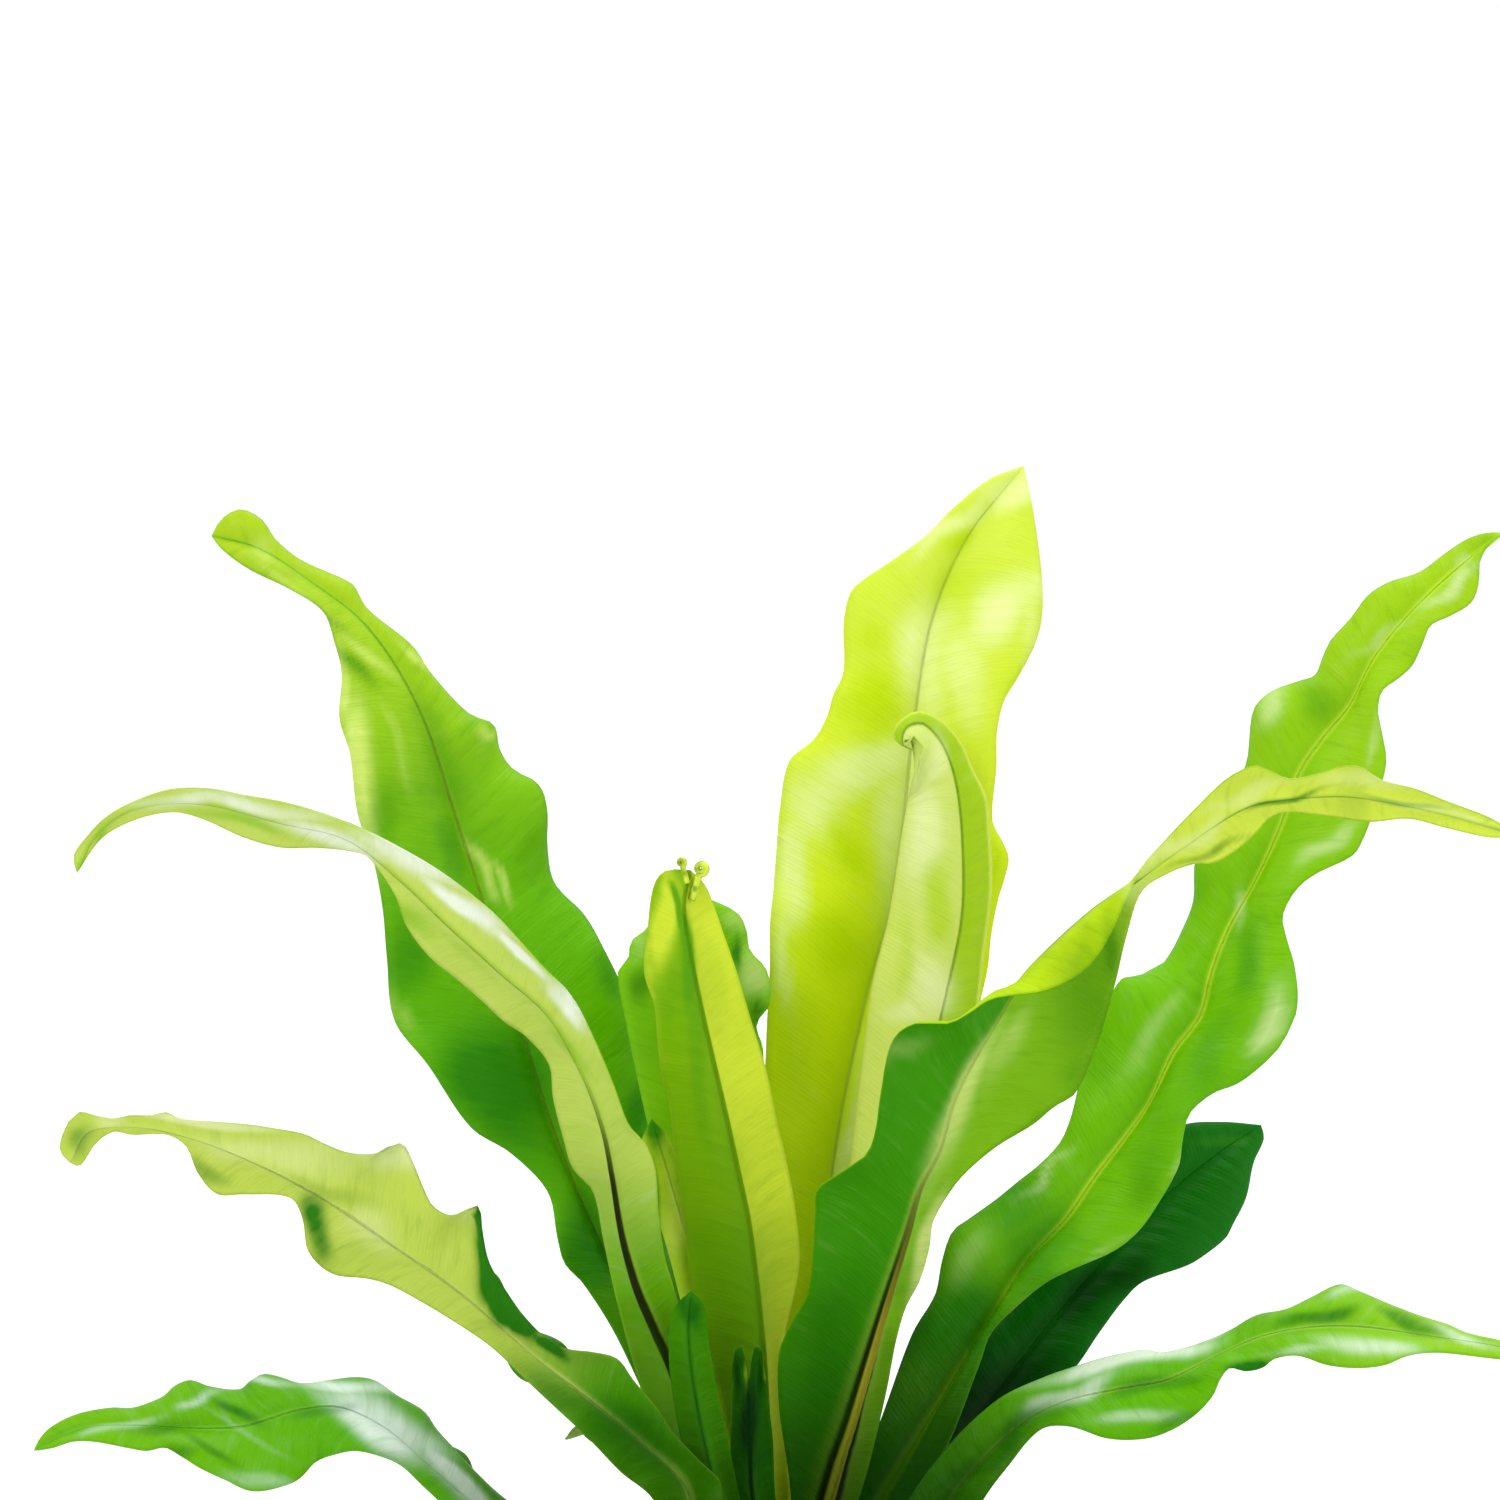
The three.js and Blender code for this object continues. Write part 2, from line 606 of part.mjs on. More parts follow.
      [-18, 185, -3], [-25, 193, -3], [-33, 202, -4], [-38, 210, -4], [-45, 219], [-50, 226, -4],
      [-57, 228], [-65, 229, -3], [-70, 231], [-78, 239, -2], [-84, 248], [-89, 257, -3], [-91, 267],
      [-92, 275, -5], [-96, 274], [-100, 272, -5], [-106, 275], [-109, 281], [-112, 289, -6],
      [-115, 295], [-118, 295], [-123, 292], [-131, 292, -5], [-139, 295], [-145, 298],
      [-155, 300, -5], [-161, 301], [-172, 302, -4], [-183, 303], [-187, 305, -3], [-192, 304],
      [-198, 304, -2], [-204, 303], [-209, 304, -2], [-214, 305], [-217, 302], [-220, 293, -1],
      [-217, 289],
    ],
    ripple: 1.5,
    waves: 7,
    colour: 0xb4cf5f,
  },
  frond_low_left: {
    root: [OUTER_RING, 196],
    rib: [
      [-55, 148, -5], [-76, 163, -8], [-97, 180, -10], [-111, 193, -12], [-122, 203, -13],
      [-136, 210, -14], [-149, 209, -15], [-165, 204, -16], [-180, 203, -17], [-200, 204, -18],
      [-215, 203, -19], [-231, 196, -20],
    ],
    a: [
      [-60, 141, -6], [-83, 158, -9], [-103, 177, -12], [-111, 185], [-117, 191], [-123, 194, -13],
      [-131, 196], [-137, 195], [-144, 192, -14], [-150, 186], [-159, 183, -15], [-165, 183],
      [-171, 186], [-179, 190, -14], [-185, 194], [-190, 197], [-196, 196, -10], [-202, 197],
      [-212, 199, -7], [-219, 199], [-225, 197, -3], [-231, 196],
    ],
    b: [
      [-50, 154, 5], [-68, 167, 8], [-86, 181, 10], [-94, 189], [-100, 196, 11], [-106, 203],
      [-110, 209, 12], [-118, 214], [-125, 219, 13], [-131, 220], [-139, 219], [-148, 218, 13],
      [-154, 220], [-159, 221], [-163, 219, 13], [-167, 216], [-176, 217], [-182, 219, 12],
      [-187, 217], [-190, 214], [-194, 212, 9], [-200, 210], [-207, 210, 7], [-217, 208],
      [-225, 204, 3], [-229, 200], [-231, 196],
    ],
    waves: 6,
    colour: 0x5aa81a,
  },
  frond_arching_right: {
    root: [MIDDLE_RING, 318],
    under: true,
    rib: [
      [13, 165, -19], [18, 188, -24], [23, 205, -28], [28, 224, -32], [34, 247, -37], [39, 265, -41],
      [43, 281, -45], [49, 294, -48], [53, 309, -51], [58, 320, -54], [65, 333, -57], [73, 347, -60],
      [84, 359, -63], [95, 369, -66], [106, 377, -68], [118, 386, -71], [132, 396, -74],
      [141, 401, -76], [150, 403, -78], [160, 404, -80], [172, 404, -82], [190, 401, -85],
      [206, 397, -87], [222, 392, -89],
    ],
    a: [
      [5, 165, -1], [3, 188, -2], [0, 210, -3], [0, 228, -4], [4, 238], [9, 248, -4], [11, 273, -4],
      [12, 281], [19, 286], [26, 291, -5], [29, 298], [31, 312, -6], [34, 327, -8], [41, 333, -12],
      [51, 333, -15], [57, 336, -16], [65, 341, -16], [79, 343, -15], [90, 348, -13], [96, 354, -11],
      [101, 363, -8], [105, 373, -4], [110, 383, -3], [115, 389, -4], [125, 400, -6], [134, 409, -7],
      [139, 412], [144, 413, -7], [150, 410], [154, 409, -7], [163, 411], [169, 413, -7], [174, 413],
      [180, 409, -6], [191, 406, -5], [201, 402, -4], [214, 397, -1], [222, 392],
    ],
    b: [
      [20, 165, 3], [27, 188, 5], [33, 215, 6], [36, 232, 7], [39, 243], [43, 251, 8], [46, 262],
      [47, 270, 8], [53, 281], [58, 287, 9], [66, 294], [77, 301, 11], [84, 307], [90, 311, 13],
      [95, 322, 13], [99, 335, 12], [102, 347, 10], [105, 361, 7], [109, 374, 3], [117, 380, 3],
      [125, 383, 4], [130, 383], [136, 386, 5], [143, 392], [147, 397, 5], [152, 399], [163, 398, 5],
      [178, 396], [189, 397, 4], [201, 394, 2], [215, 391, 1], [222, 392],
    ],
    ripple: 1.2,
    waves: 8,
    colour: 0x76b51c,
  },
  frond_upper_right: {
    root: [MIDDLE_RING, 32],
    rib: [
      [24, 165, 13], [42, 198, 19], [64, 236, 26], [77, 258, 31], [88, 271, 34], [97, 285, 37],
      [105, 296, 39], [113, 308, 42], [120, 324, 46], [128, 336, 49], [131, 349, 52], [136, 363, 55],
      [144, 378, 58], [151, 395, 62], [156, 411, 65], [163, 422, 68], [171, 432, 71], [177, 445, 74],
      [184, 455, 77], [198, 470, 82], [215, 484, 87],
    ],
    a: [
      [17, 168, 3], [31, 205, 5], [41, 234, 7], [48, 247], [50, 258, 8], [53, 267], [58, 271, 8],
      [66, 277], [73, 283], [80, 289, 8], [86, 296], [89, 304, 8], [91, 313], [96, 330, 8],
      [102, 345], [108, 348, 8], [113, 349], [117, 353], [122, 363, 8], [125, 372], [125, 382],
      [128, 393, 8], [135, 405], [140, 414, 8], [141, 426], [142, 431], [147, 436, 8], [155, 439],
      [160, 441], [162, 446, 7], [164, 451], [170, 458], [175, 465, 6], [181, 469], [190, 472, 5],
      [198, 478], [204, 482, 3], [210, 484], [215, 484],
    ],
    b: [
      [31, 162, -5], [50, 193, -8], [62, 225, -10], [65, 234], [72, 242, -12], [81, 250],
      [90, 255, -13], [103, 261], [110, 267, -13], [116, 276], [122, 288, -14], [123, 296],
      [124, 302], [126, 306, -14], [132, 311], [141, 315, -14], [150, 323], [154, 329],
      [157, 337, -14], [156, 351], [153, 361, -13], [152, 367], [156, 375, -12], [162, 380],
      [172, 385, -11], [175, 389], [178, 397, -10], [180, 405], [182, 415, -9], [180, 425],
      [179, 430], [180, 436, -8], [185, 440], [189, 444, -7], [192, 451], [194, 456],
      [200, 459, -5], [206, 463], [208, 469, -4], [208, 475], [211, 481, -2], [215, 484],
    ],
    waves: 8,
    colour: 0x63b30f,
  },
  frond_dark_right: {
    root: [OUTER_RING, 36],
    rib: [
      [44, 178, 31], [62, 207, 40], [80, 233, 50], [100, 258, 60], [118, 278, 70], [134, 292, 79],
      [147, 301, 87],
    ],
    a: [
      [34, 184, 3], [52, 218, 4], [72, 246, 5], [95, 276, 5], [112, 294, 4], [123, 301, 3],
      [135, 302, 2], [147, 301],
    ],
    b: [
      [53, 173, -6], [72, 198, -8], [92, 224, -10], [99, 235], [106, 245, -11], [112, 251],
      [125, 256, -11], [130, 259], [137, 265, -9], [139, 269], [143, 278, -7], [145, 289, -4],
      [148, 297, -1], [147, 301],
    ],
    waves: 5,
    colour: 0x14610e,
  },
  frond_low_right: {
    root: [OUTER_RING, 337],
    rib: [
      [46, 168, -15], [61, 190, -20], [76, 205, -24], [89, 212, -28], [105, 216, -32],
      [120, 219, -36], [136, 227, -40], [149, 233, -43], [165, 236, -46], [180, 236, -49],
      [200, 233, -52], [220, 230, -55], [238, 226, -58],
    ],
    a: [
      [38, 175, 4], [52, 197, 7], [68, 213, 9], [82, 220, 10], [93, 224, 11], [99, 226], [107, 228, 11],
      [113, 229], [118, 228, 11], [130, 231], [139, 235, 11], [147, 240], [156, 242, 12], [164, 246],
      [172, 250, 12], [178, 248], [187, 244, 11], [197, 240], [206, 237, 8], [212, 234],
      [221, 232, 5], [231, 230, 2], [238, 226],
    ],
    b: [
      [54, 163, -7], [64, 181, -9], [71, 191], [81, 203, -10], [90, 204], [102, 200, -13],
      [114, 200], [122, 203, -13], [129, 208], [134, 214, -12], [136, 219], [139, 223, -10],
      [144, 222, -9], [149, 223], [153, 226, -9], [160, 227], [169, 224, -12], [179, 223],
      [187, 224, -12], [194, 227], [203, 228, -8], [221, 226, -4], [232, 225, -2], [238, 226],
    ],
    waves: 6,
    colour: 0x66ad22,
  },
};

// Fronds round the back and under the front, which the front view hides: root, rib as it would be seen, and
// the blade's half width.
const HIDDEN = {
  frond_back_right: {
    root: [OUTER_RING, 60],
    rib: [[34, 175, 44], [56, 210, 70], [82, 243, 100], [106, 270, 134], [125, 283, 162]],
    half: 20,
    phase: 1,
  },
  frond_back_middle: {
    root: [OUTER_RING, 84],
    rib: [[11, 192, 40], [16, 247, 66], [19, 300, 98], [22, 332, 130], [24, 342, 162]],
    half: 22,
    phase: 2,
  },
  frond_back_centre: {
    root: [OUTER_RING, 107],
    rib: [[-10, 178, 46], [-14, 220, 80], [-17, 250, 118], [-22, 262, 154], [-26, 258, 184]],
    half: 18,
    phase: 0.4,
  },
  frond_back_upper: {
    root: [MIDDLE_RING, 110],
    rib: [
      [-12, 180, 32], [-30, 228, 52], [-50, 270, 76], [-70, 312, 102], [-87, 348, 127],
      [-98, 374, 150],
    ],
    half: 16,
    phase: 1.7,
  },
  frond_back_droop: {
    root: [OUTER_RING, 130],
    rib: [[-24, 174, 34], [-37, 195, 48], [-48, 202, 62], [-57, 203, 74], [-66, 200, 84]],
    half: 7,
    waves: 4,
  },
  frond_back_left: {
    root: [OUTER_RING, 152],
    rib: [
      [-34, 182, 24], [-62, 211, 38], [-84, 235, 50], [-108, 260, 66], [-132, 275, 82],
      [-146, 284, 92],
    ],
    half: 11,
    phase: 2.2,
  },
  frond_side_left: {
    root: [OUTER_RING, 174],
    rib: [
      [-50, 140, 14], [-76, 162, 22], [-100, 184, 30], [-118, 200, 36], [-140, 206, 44],
      [-163, 204, 52], [-180, 201, 58],
    ],
    half: 11,
    phase: 0.8,
  },
  frond_front_left: {
    root: [OUTER_RING, 242],
    rib: [[-26, 144, -48], [-46, 157, -80], [-70, 164, -116], [-94, 162, -152], [-118, 146, -186]],
    half: 21,
    waves: 5,
    phase: 1.1,
  },
  frond_front_centre: {
    root: [OUTER_RING, 265],
    rib: [[-7, 128, -54], [-12, 136, -94], [-19, 142, -136], [-27, 134, -178], [-33, 112, -214]],
    half: 23,
    waves: 5,
    phase: 2.6,
  },
  frond_front_middle: {
    root: [OUTER_RING, 288],
    rib: [[13, 146, -46], [28, 159, -82], [46, 165, -120], [64, 160, -158], [80, 142, -192]],
    half: 20,
    waves: 5,
    phase: 0.2,
  },
  frond_front_right: {
    root: [OUTER_RING, 311],
    rib: [[36, 134, -42], [62, 145, -68], [92, 150, -96], [122, 145, -124], [150, 130, -150]],
    half: 20,
    waves: 5,
    phase: 1.9,
  },
};

// Crown: scaly brown dome bedded in the mix, with one plain hole for each frond
const dome = [
  [0, CROWN_FOOT],
  [CROWN_RADIUS - CROWN_BEVEL, CROWN_FOOT],
];
for (let i = 0; i <= CROWN_STEPS; i++) {
  const turn = (i / CROWN_STEPS) * (Math.PI / 2);
  const r = i < CROWN_STEPS ? CROWN_RADIUS * Math.cos(turn) : 0;
  dome.push([r, crownHeight(r)]);
}
let crown = solid(turned(dome, CROWN_SIDES));

const shapes = new Map();
for (const [name, given] of Object.entries(SEEN)) {
  const rows = given.short ? SHORT_ROWS : LONG_ROWS;
  shapes.set(name, { ...given, shape: readBlade(given), rows });
}
for (const [name, given] of Object.entries(HIDDEN))
  shapes.set(name, { ...given, shape: ruledBlade(given), rows: HIDDEN_ROWS, colour: LEAF_GREEN });

for (const { root } of shapes.values()) {
  const { rise, side, points } = stalk(root);
  const long = STALK_DEEP + STALK_NECK + GAP;
  const hole = new THREE.CylinderGeometry(HOLE_RADIUS, HOLE_RADIUS, long, HOLE_SIDES);
  hole.applyQuaternion(
    new THREE.Quaternion().setFromUnitVectors(new THREE.Vector3(0, 1, 0), new THREE.Vector3(...rise)),
  );
  const middle = add(mix(points[0], points[2], 0.5), times(rise, -GAP / 2));
  hole.translate(...add(middle, times(cross(side, rise), -RIB_HEIGHT / 3)));
  crown = crown.subtract(solid(hole));
}
piece("crown", geometry(crown), BROWN_SCALES, 0.95);

// A tip still rolled up: a flattened knob on a short neck that grows from the blade.
function curl(shape, { from, at, radius }) {
  const knob = wasm.Manifold.sphere(radius, CURL_SIDES).scale([1, CURL_FLAT, 1]).translate(place(at));
  const neck = wasm.Manifold.sphere(CURL_NECK, CURL_SIDES).translate(shape(...from));
  return wasm.Manifold.hull([knob, neck]);
}

for (const [name, { shape, rows, colour, curls = [] }] of shapes) {
  let made = blade(shape, rows);
  if (curls.length)
    made = geometry(curls.reduce((whole, given) => whole.add(curl(shape, given)), solid(made)));
  piece(name, made, colour, 0.5);
}

export default plant;
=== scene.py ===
"""Bird's nest fern in a plain clay pot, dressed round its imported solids. Metres, +Z up."""

import math
import random

import bpy
import numpy as np
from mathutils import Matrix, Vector


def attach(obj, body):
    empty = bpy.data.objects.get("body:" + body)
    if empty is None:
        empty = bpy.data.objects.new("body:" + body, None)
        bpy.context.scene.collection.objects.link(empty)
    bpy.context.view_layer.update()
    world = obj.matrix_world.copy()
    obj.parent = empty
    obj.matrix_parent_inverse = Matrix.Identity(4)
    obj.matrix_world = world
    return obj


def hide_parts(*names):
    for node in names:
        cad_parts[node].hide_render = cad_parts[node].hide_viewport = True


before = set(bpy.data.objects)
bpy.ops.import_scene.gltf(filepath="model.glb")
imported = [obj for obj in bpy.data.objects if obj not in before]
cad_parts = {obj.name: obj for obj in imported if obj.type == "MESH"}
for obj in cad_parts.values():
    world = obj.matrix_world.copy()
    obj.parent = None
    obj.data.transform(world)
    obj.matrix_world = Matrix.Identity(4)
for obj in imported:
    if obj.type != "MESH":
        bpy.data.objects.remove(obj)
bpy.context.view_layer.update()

# Pot
# An unglazed pot of red clay, thrown on a wheel and fired. Its shape is one turned wall with a plain stepped
# rim; the clay keeps faint rings from the potter's fingers and a pale bloom of lime where water has dried.
MM = 0.001
FULL_TURN = 2 * math.pi
POT_HEIGHT = 130
POT_TOP_RADIUS = 75
POT_BASE_RADIUS = 50
POT_WALL = 5
POT_FLOOR = 7
RIM_HEIGHT = 20
RIM_STEP = 3
LIP = 3.3
LIP_RISE = 2.4
LIP_STEPS = 8
FOOT_HOLLOW = 0.6
FOOT_ROUND = 1.5
WALL_STEPS = 24
FINGER_RING = 0.12
POT_SIDES = 192
DRAIN_RING = 28
DRAIN_RADIUS = 4.5
DRAIN_SIDES = 32


def tint(red, green, blue):
    """A colour as a paint chart gives it, 0 to 255, turned to what light does."""
    return tuple(
        c / 255 / 12.92 if c <= 10 else ((c / 255 + 0.055) / 1.055) ** 2.4
        for c in (red, green, blue)
    )


class Wire:
    """What flows out of one socket. Sums written with it add Math nodes."""

    def __init__(self, bench, socket):
        self.bench, self.socket = bench, socket

    def maths(self, operation, other=0.0):
        return self.bench.node("Math", {"operation": operation}, {0: self, 1: other})["Value"]

    def __add__(self, other):
        return self.maths("ADD", other)

    def __mul__(self, other):
        return self.maths("MULTIPLY", other)

    def __truediv__(self, other):
        return self.maths("DIVIDE", other)

    __radd__, __rmul__ = __add__, __mul__


class Bench:
    """One material on the workbench."""

    def __init__(self, name):
        self.material = bpy.data.materials.new(name)
        self.material.use_nodes = True
        self.tree = self.material.node_tree
        self.tree.nodes.clear()

    def node(self, kind, settings=None, sockets=None):
        """Adds a node: its settings first, then values or wires for its sockets. Gives its outputs."""
        made = self.tree.nodes.new("ShaderNode" + kind)
        for key, value in (settings or {}).items():
            setattr(made, key, value)
        for key, value in (sockets or {}).items():
            if isinstance(value, Wire):
                self.tree.links.new(value.socket, made.inputs[key])
            elif isinstance(value, tuple) and len(value) == 3 and len(made.inputs[key].default_value) == 4:
                made.inputs[key].default_value = (*value, 1)
            else:
                made.inputs[key].default_value = value
        outputs = [o for o in made.outputs if o.enabled]
        return {o.name: Wire(self, o) for o in reversed(outputs)}

    def blend(self, amount, first, second, how="MIX"):
        """Second colour over the first."""
        settings = {"data_type": "RGBA", "blend_type": how}
        return self.node("Mix", settings, {0: amount, 6: first, 7: second})["Result"]

    def coats(self, colour, *layers):
        """Thin coats over a colour, each given as its amount and its own colour."""
        for amount, over in layers:
            colour = self.blend(amount, colour, over)
        return colour

    def fade(self, value, start, end, low=0.0, high=1.0):
        """Smooth step from low at start to high at end."""
        sockets = {"Value": value, 1: start, 2: end, 3: low, 4: high}
        return self.node("MapRange", {"interpolation_type": "SMOOTHSTEP"}, sockets)["Result"]

    def place(self):
        return self.node("TexCoord")["Object"]

    def grain(self, scale, where=None, detail=3.0, rough=0.5, warp=0.0):
        """Cloudy noise from about 0.25 to 0.75."""
        sockets = {"Scale": scale, "Detail": detail, "Roughness": rough, "Distortion": warp}
        return self.node("TexNoise", None, {**sockets, "Vector": where or self.place()})["Fac"]

    def cells(self, scale):
        return self.node("TexVoronoi", None, {"Scale": scale, "Vector": self.place()})["Distance"]

    def hue(self, scale):
        """A level of its own for every cell of that scale."""
        cell = self.node("TexVoronoi", None, {"Scale": scale, "Vector": self.place()})["Color"]
        return self.node("SeparateColor", None, {0: cell})["Red"]

    def split(self, where):
        found = self.node("SeparateXYZ", None, {0: where})
        return found["X"], found["Y"], found["Z"]

    def relief(self, height, depth, over=None):
        """Bumps of that depth in metres, over any that are given."""
        sockets = {"Height": height, "Distance": depth}
        if over is not None:
            sockets["Normal"] = over
        return self.node("Bump", None, sockets)["Normal"]

    def surface(self, colour, rough, normal, gleam=0.5):
        sockets = {"Base Color": colour, "Roughness": rough, "Normal": normal, "Specular IOR Level": gleam}
        return self.node("BsdfPrincipled", None, sockets)["BSDF"]

    def done(self, shader):
        self.node("OutputMaterial", None, {"Surface": shader})
        return self.material


def mesh_piece(name, points, faces, material, smooth=True):
    """A piece of the plant from points in millimetres and faces."""
    mesh = bpy.data.meshes.new(name)
    mesh.from_pydata((np.asarray(points, float) * MM).tolist(), [], faces)
    mesh.materials.append(material)
    mesh.polygons.foreach_set("use_smooth", [smooth] * len(mesh.polygons))
    made = bpy.data.objects.new(name, mesh)
    bpy.context.collection.objects.link(made)
    return made


def turned(profile, sides):
    """Points and faces turned from a profile of (radius, height) that closes on the axis."""
    points, faces, rings = [], [], []
    for radius, height in profile:
        if radius < 1e-6:
            rings.append([len(points)] * sides)
            points.append((0, 0, height))
            continue
        rings.append(list(range(len(points), len(points) + sides)))
        for turn in np.arange(sides) * FULL_TURN / sides:
            points.append((radius * math.cos(turn), radius * math.sin(turn), height))
    for low, high in zip(rings, rings[1:]):
        for i in range(sides):
            j = (i + 1) % sides
            face = [low[i], low[j], high[j], high[i]]
            faces.append([v for n, v in enumerate(face) if v != face[n - 1]])
    return points, faces


def tube(first, sides, steps):
    """Faces of a closed tube whose points lie in rings, one ring after another."""
    ring = np.arange(sides)
    rows = first + sides * np.arange(steps)[:, None]
    low, beside = rows + ring, rows + (ring + 1) % sides
    walls = np.stack([low, beside, beside + sides, low + sides], -1).reshape(-1, 4).tolist()
    return walls + [(first + ring[::-1]).tolist(), (first + sides * steps + ring).tolist()]


def inner_radius(height):
    """Inside of the wall at a height above the table."""
    slope = (POT_TOP_RADIUS - RIM_STEP - POT_BASE_RADIUS) / (POT_HEIGHT - RIM_HEIGHT)
    return POT_BASE_RADIUS + slope * height - POT_WALL


def pot_profile():
    """Half of the wall, rim and floor as a cut through the axis shows them."""
    foot, edge, rim = POT_BASE_RADIUS, POT_TOP_RADIUS, POT_HEIGHT - RIM_HEIGHT
    line = [(0, FOOT_HOLLOW), (foot - 12, FOOT_HOLLOW), (foot - 10, 0), (foot - 1.5, 0), (foot - 0.4, 0.4)]
    line.append((foot, FOOT_ROUND))
    for i in range(1, WALL_STEPS + 1):
        share = i / WALL_STEPS
        radius = foot + (edge - RIM_STEP - foot) * share + FINGER_RING * math.sin(17 * share)
        line.append((radius, FOOT_ROUND + (rim - FOOT_ROUND) * share))
    line += [(edge - 1.2, rim + 0.1), (edge - 0.7, rim + 0.7), (edge - 0.35, rim + 6)]
    line.append((edge - 0.1, POT_HEIGHT - 3))
    for i in range(LIP_STEPS + 1):
        turn = math.pi * i / LIP_STEPS
        line.append((edge - LIP + LIP * math.cos(turn), POT_HEIGHT - LIP_RISE + LIP_RISE * math.sin(turn)))
    line += [(inner_radius(rim) + 0.5, rim), (inner_radius(60), 60)]
    return line + [(inner_radius(POT_FLOOR), POT_FLOOR), (0, POT_FLOOR)]


def clay():
    bench = Bench("fired_clay")
    place = bench.place()
    z = bench.split(place)[2]
    cloud = bench.grain(14, detail=5, rough=0.6)
    speck = bench.grain(900, detail=2)
    lime = bench.fade(bench.grain(38, detail=6, rough=0.7, warp=0.6), 0.5, 0.68)
    low, near_rim = bench.fade(z, 0.075, 0.005), bench.fade(z, 0.112, 0.128)
    damp = bench.fade(bench.grain(22, detail=4), 0.45, 0.7) * bench.fade(z, 0.05, 0.0)
    red = bench.coats(
        tint(186, 98, 62),
        (bench.fade(cloud, 0.35, 0.65), tint(168, 82, 52)),
        (bench.fade(speck, 0.56, 0.66) * 0.5, tint(214, 146, 108)),
        (bench.fade(speck, 0.42, 0.33) * 0.6, tint(120, 60, 40)),
        (lime * (low * 0.65 + near_rim * 0.35), tint(226, 206, 186)),
        (damp * 0.45, tint(96, 84, 46)),
    )
    wave = {"Vector": place, "Scale": 95.0, "Distortion": 1.2, "Detail": 2.0, "Detail Scale": 1.5}
    rings = bench.node("TexWave", {"bands_direction": "Z"}, wave)["Fac"]
    bumps = bench.relief(rings, 0.0001)
    bumps = bench.relief(bench.grain(420, detail=6, rough=0.7), 0.0003, bumps)
    bumps = bench.relief(bench.fade(bench.cells(260), 0.1, 0.3), 0.0002, bumps)
    return bench.done(bench.surface(red, 0.74 + 0.2 * cloud, bumps, 0.3))


clay_skin = clay()
pot = mesh_piece("clay_pot", *turned(pot_profile(), POT_SIDES), clay_skin)
bores = []
for i in range(4):
    turn = (i + 0.5) * math.pi / 2
    low, high = -2, POT_FLOOR + 2
    ring, walls = turned([(0, low), (DRAIN_RADIUS, low), (DRAIN_RADIUS, high), (0, high)], DRAIN_SIDES)
    shift = (DRAIN_RING * math.cos(turn), DRAIN_RING * math.sin(turn), 0)
    bore = mesh_piece("bore_%d" % i, np.array(ring) + shift, walls, clay_skin)
    cut = pot.modifiers.new("drain_%d" % i, "BOOLEAN")
    cut.object, cut.operation, cut.solver = bore, "DIFFERENCE", "EXACT"
    bores.append(bore)
bpy.context.view_layer.update()
drained = bpy.data.meshes.new_from_object(pot.evaluated_get(bpy.context.evaluated_depsgraph_get()))
pot.modifiers.clear()
pot.data = drained
pot.data.name = "clay_pot"
for bore in bores:
    bpy.data.objects.remove(bore, do_unlink=True)
edges = pot.modifiers.new("crisp_edges", "EDGE_SPLIT")
edges.split_angle = math.radians(50)
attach(pot, "root")
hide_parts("pot")

# Potting mix
# Open mix for ferns: peat and composted bark filled to below the rim, loose chips of bark, white perlite and
# a little moss on top. It is poured in round the roots and firmed by hand, so it lies uneven.
MIX_BELOW_RIM = 13
MIX_LUMP = 1.6
MIX_WALL = 7
MIX_FOOT = 7.5
MIX_DISH = 104
MIX_GAP = 0.5
MIX_RINGS = 64
MIX_SIDES = 200
CROWN_RADIUS = 31
MIX_TOP = POT_HEIGHT - MIX_BELOW_RIM
MIX_EDGE = inner_radius(MIX_TOP - MIX_WALL) - MIX_GAP


def mix_height(x, y):
    """Top of the mix: broad lumps, crumbs and grit."""
    broad = np.sin(0.31 * x + 1.3) * np.cos(0.27 * y) + 0.6 * np.sin(0.55 * (x + y)) * np.sin(0.43 * (x - y))
    crumb = np.sin(1.9 * x + 2.1 * np.sin(0.7 * y)) * np.sin(1.7 * y + 1.6 * np.sin(0.9 * x))
    grit = np.sin(3.9 * x + 1.3 * y) * np.sin(4.3 * y - 1.1 * x)
    return MIX_TOP + MIX_LUMP * broad + 0.55 * crumb + 0.3 * grit


def mix_body():
    """A disc with a lumpy top, closed by a plain wall and floor inside the pot."""
    turns = np.arange(MIX_SIDES) * FULL_TURN / MIX_SIDES
    inside = CROWN_RADIUS - 6
    radii = [inside + (MIX_EDGE - inside) * (i / (MIX_RINGS - 1)) for i in range(MIX_RINGS)]
    points = []
    for radius, height in (
        (inside, MIX_DISH), *((r, None) for r in radii),
        (MIX_EDGE, MIX_TOP - MIX_WALL), (inner_radius(MIX_FOOT) - MIX_GAP, MIX_FOOT),
    ):
        x, y = radius * np.cos(turns), radius * np.sin(turns)
        sunk = MIX_LUMP * max(0, (radius - MIX_EDGE + 5) / 5) ** 2
        level = mix_height(x, y) - sunk if height is None else np.full(MIX_SIDES, height)
        points += list(zip(x, y, level))
    # The rings run outwards and then down, so every face is turned over to look out of the mix.
    return points, [face[:1] + face[:0:-1] for face in tube(0, MIX_SIDES, MIX_RINGS + 2)]


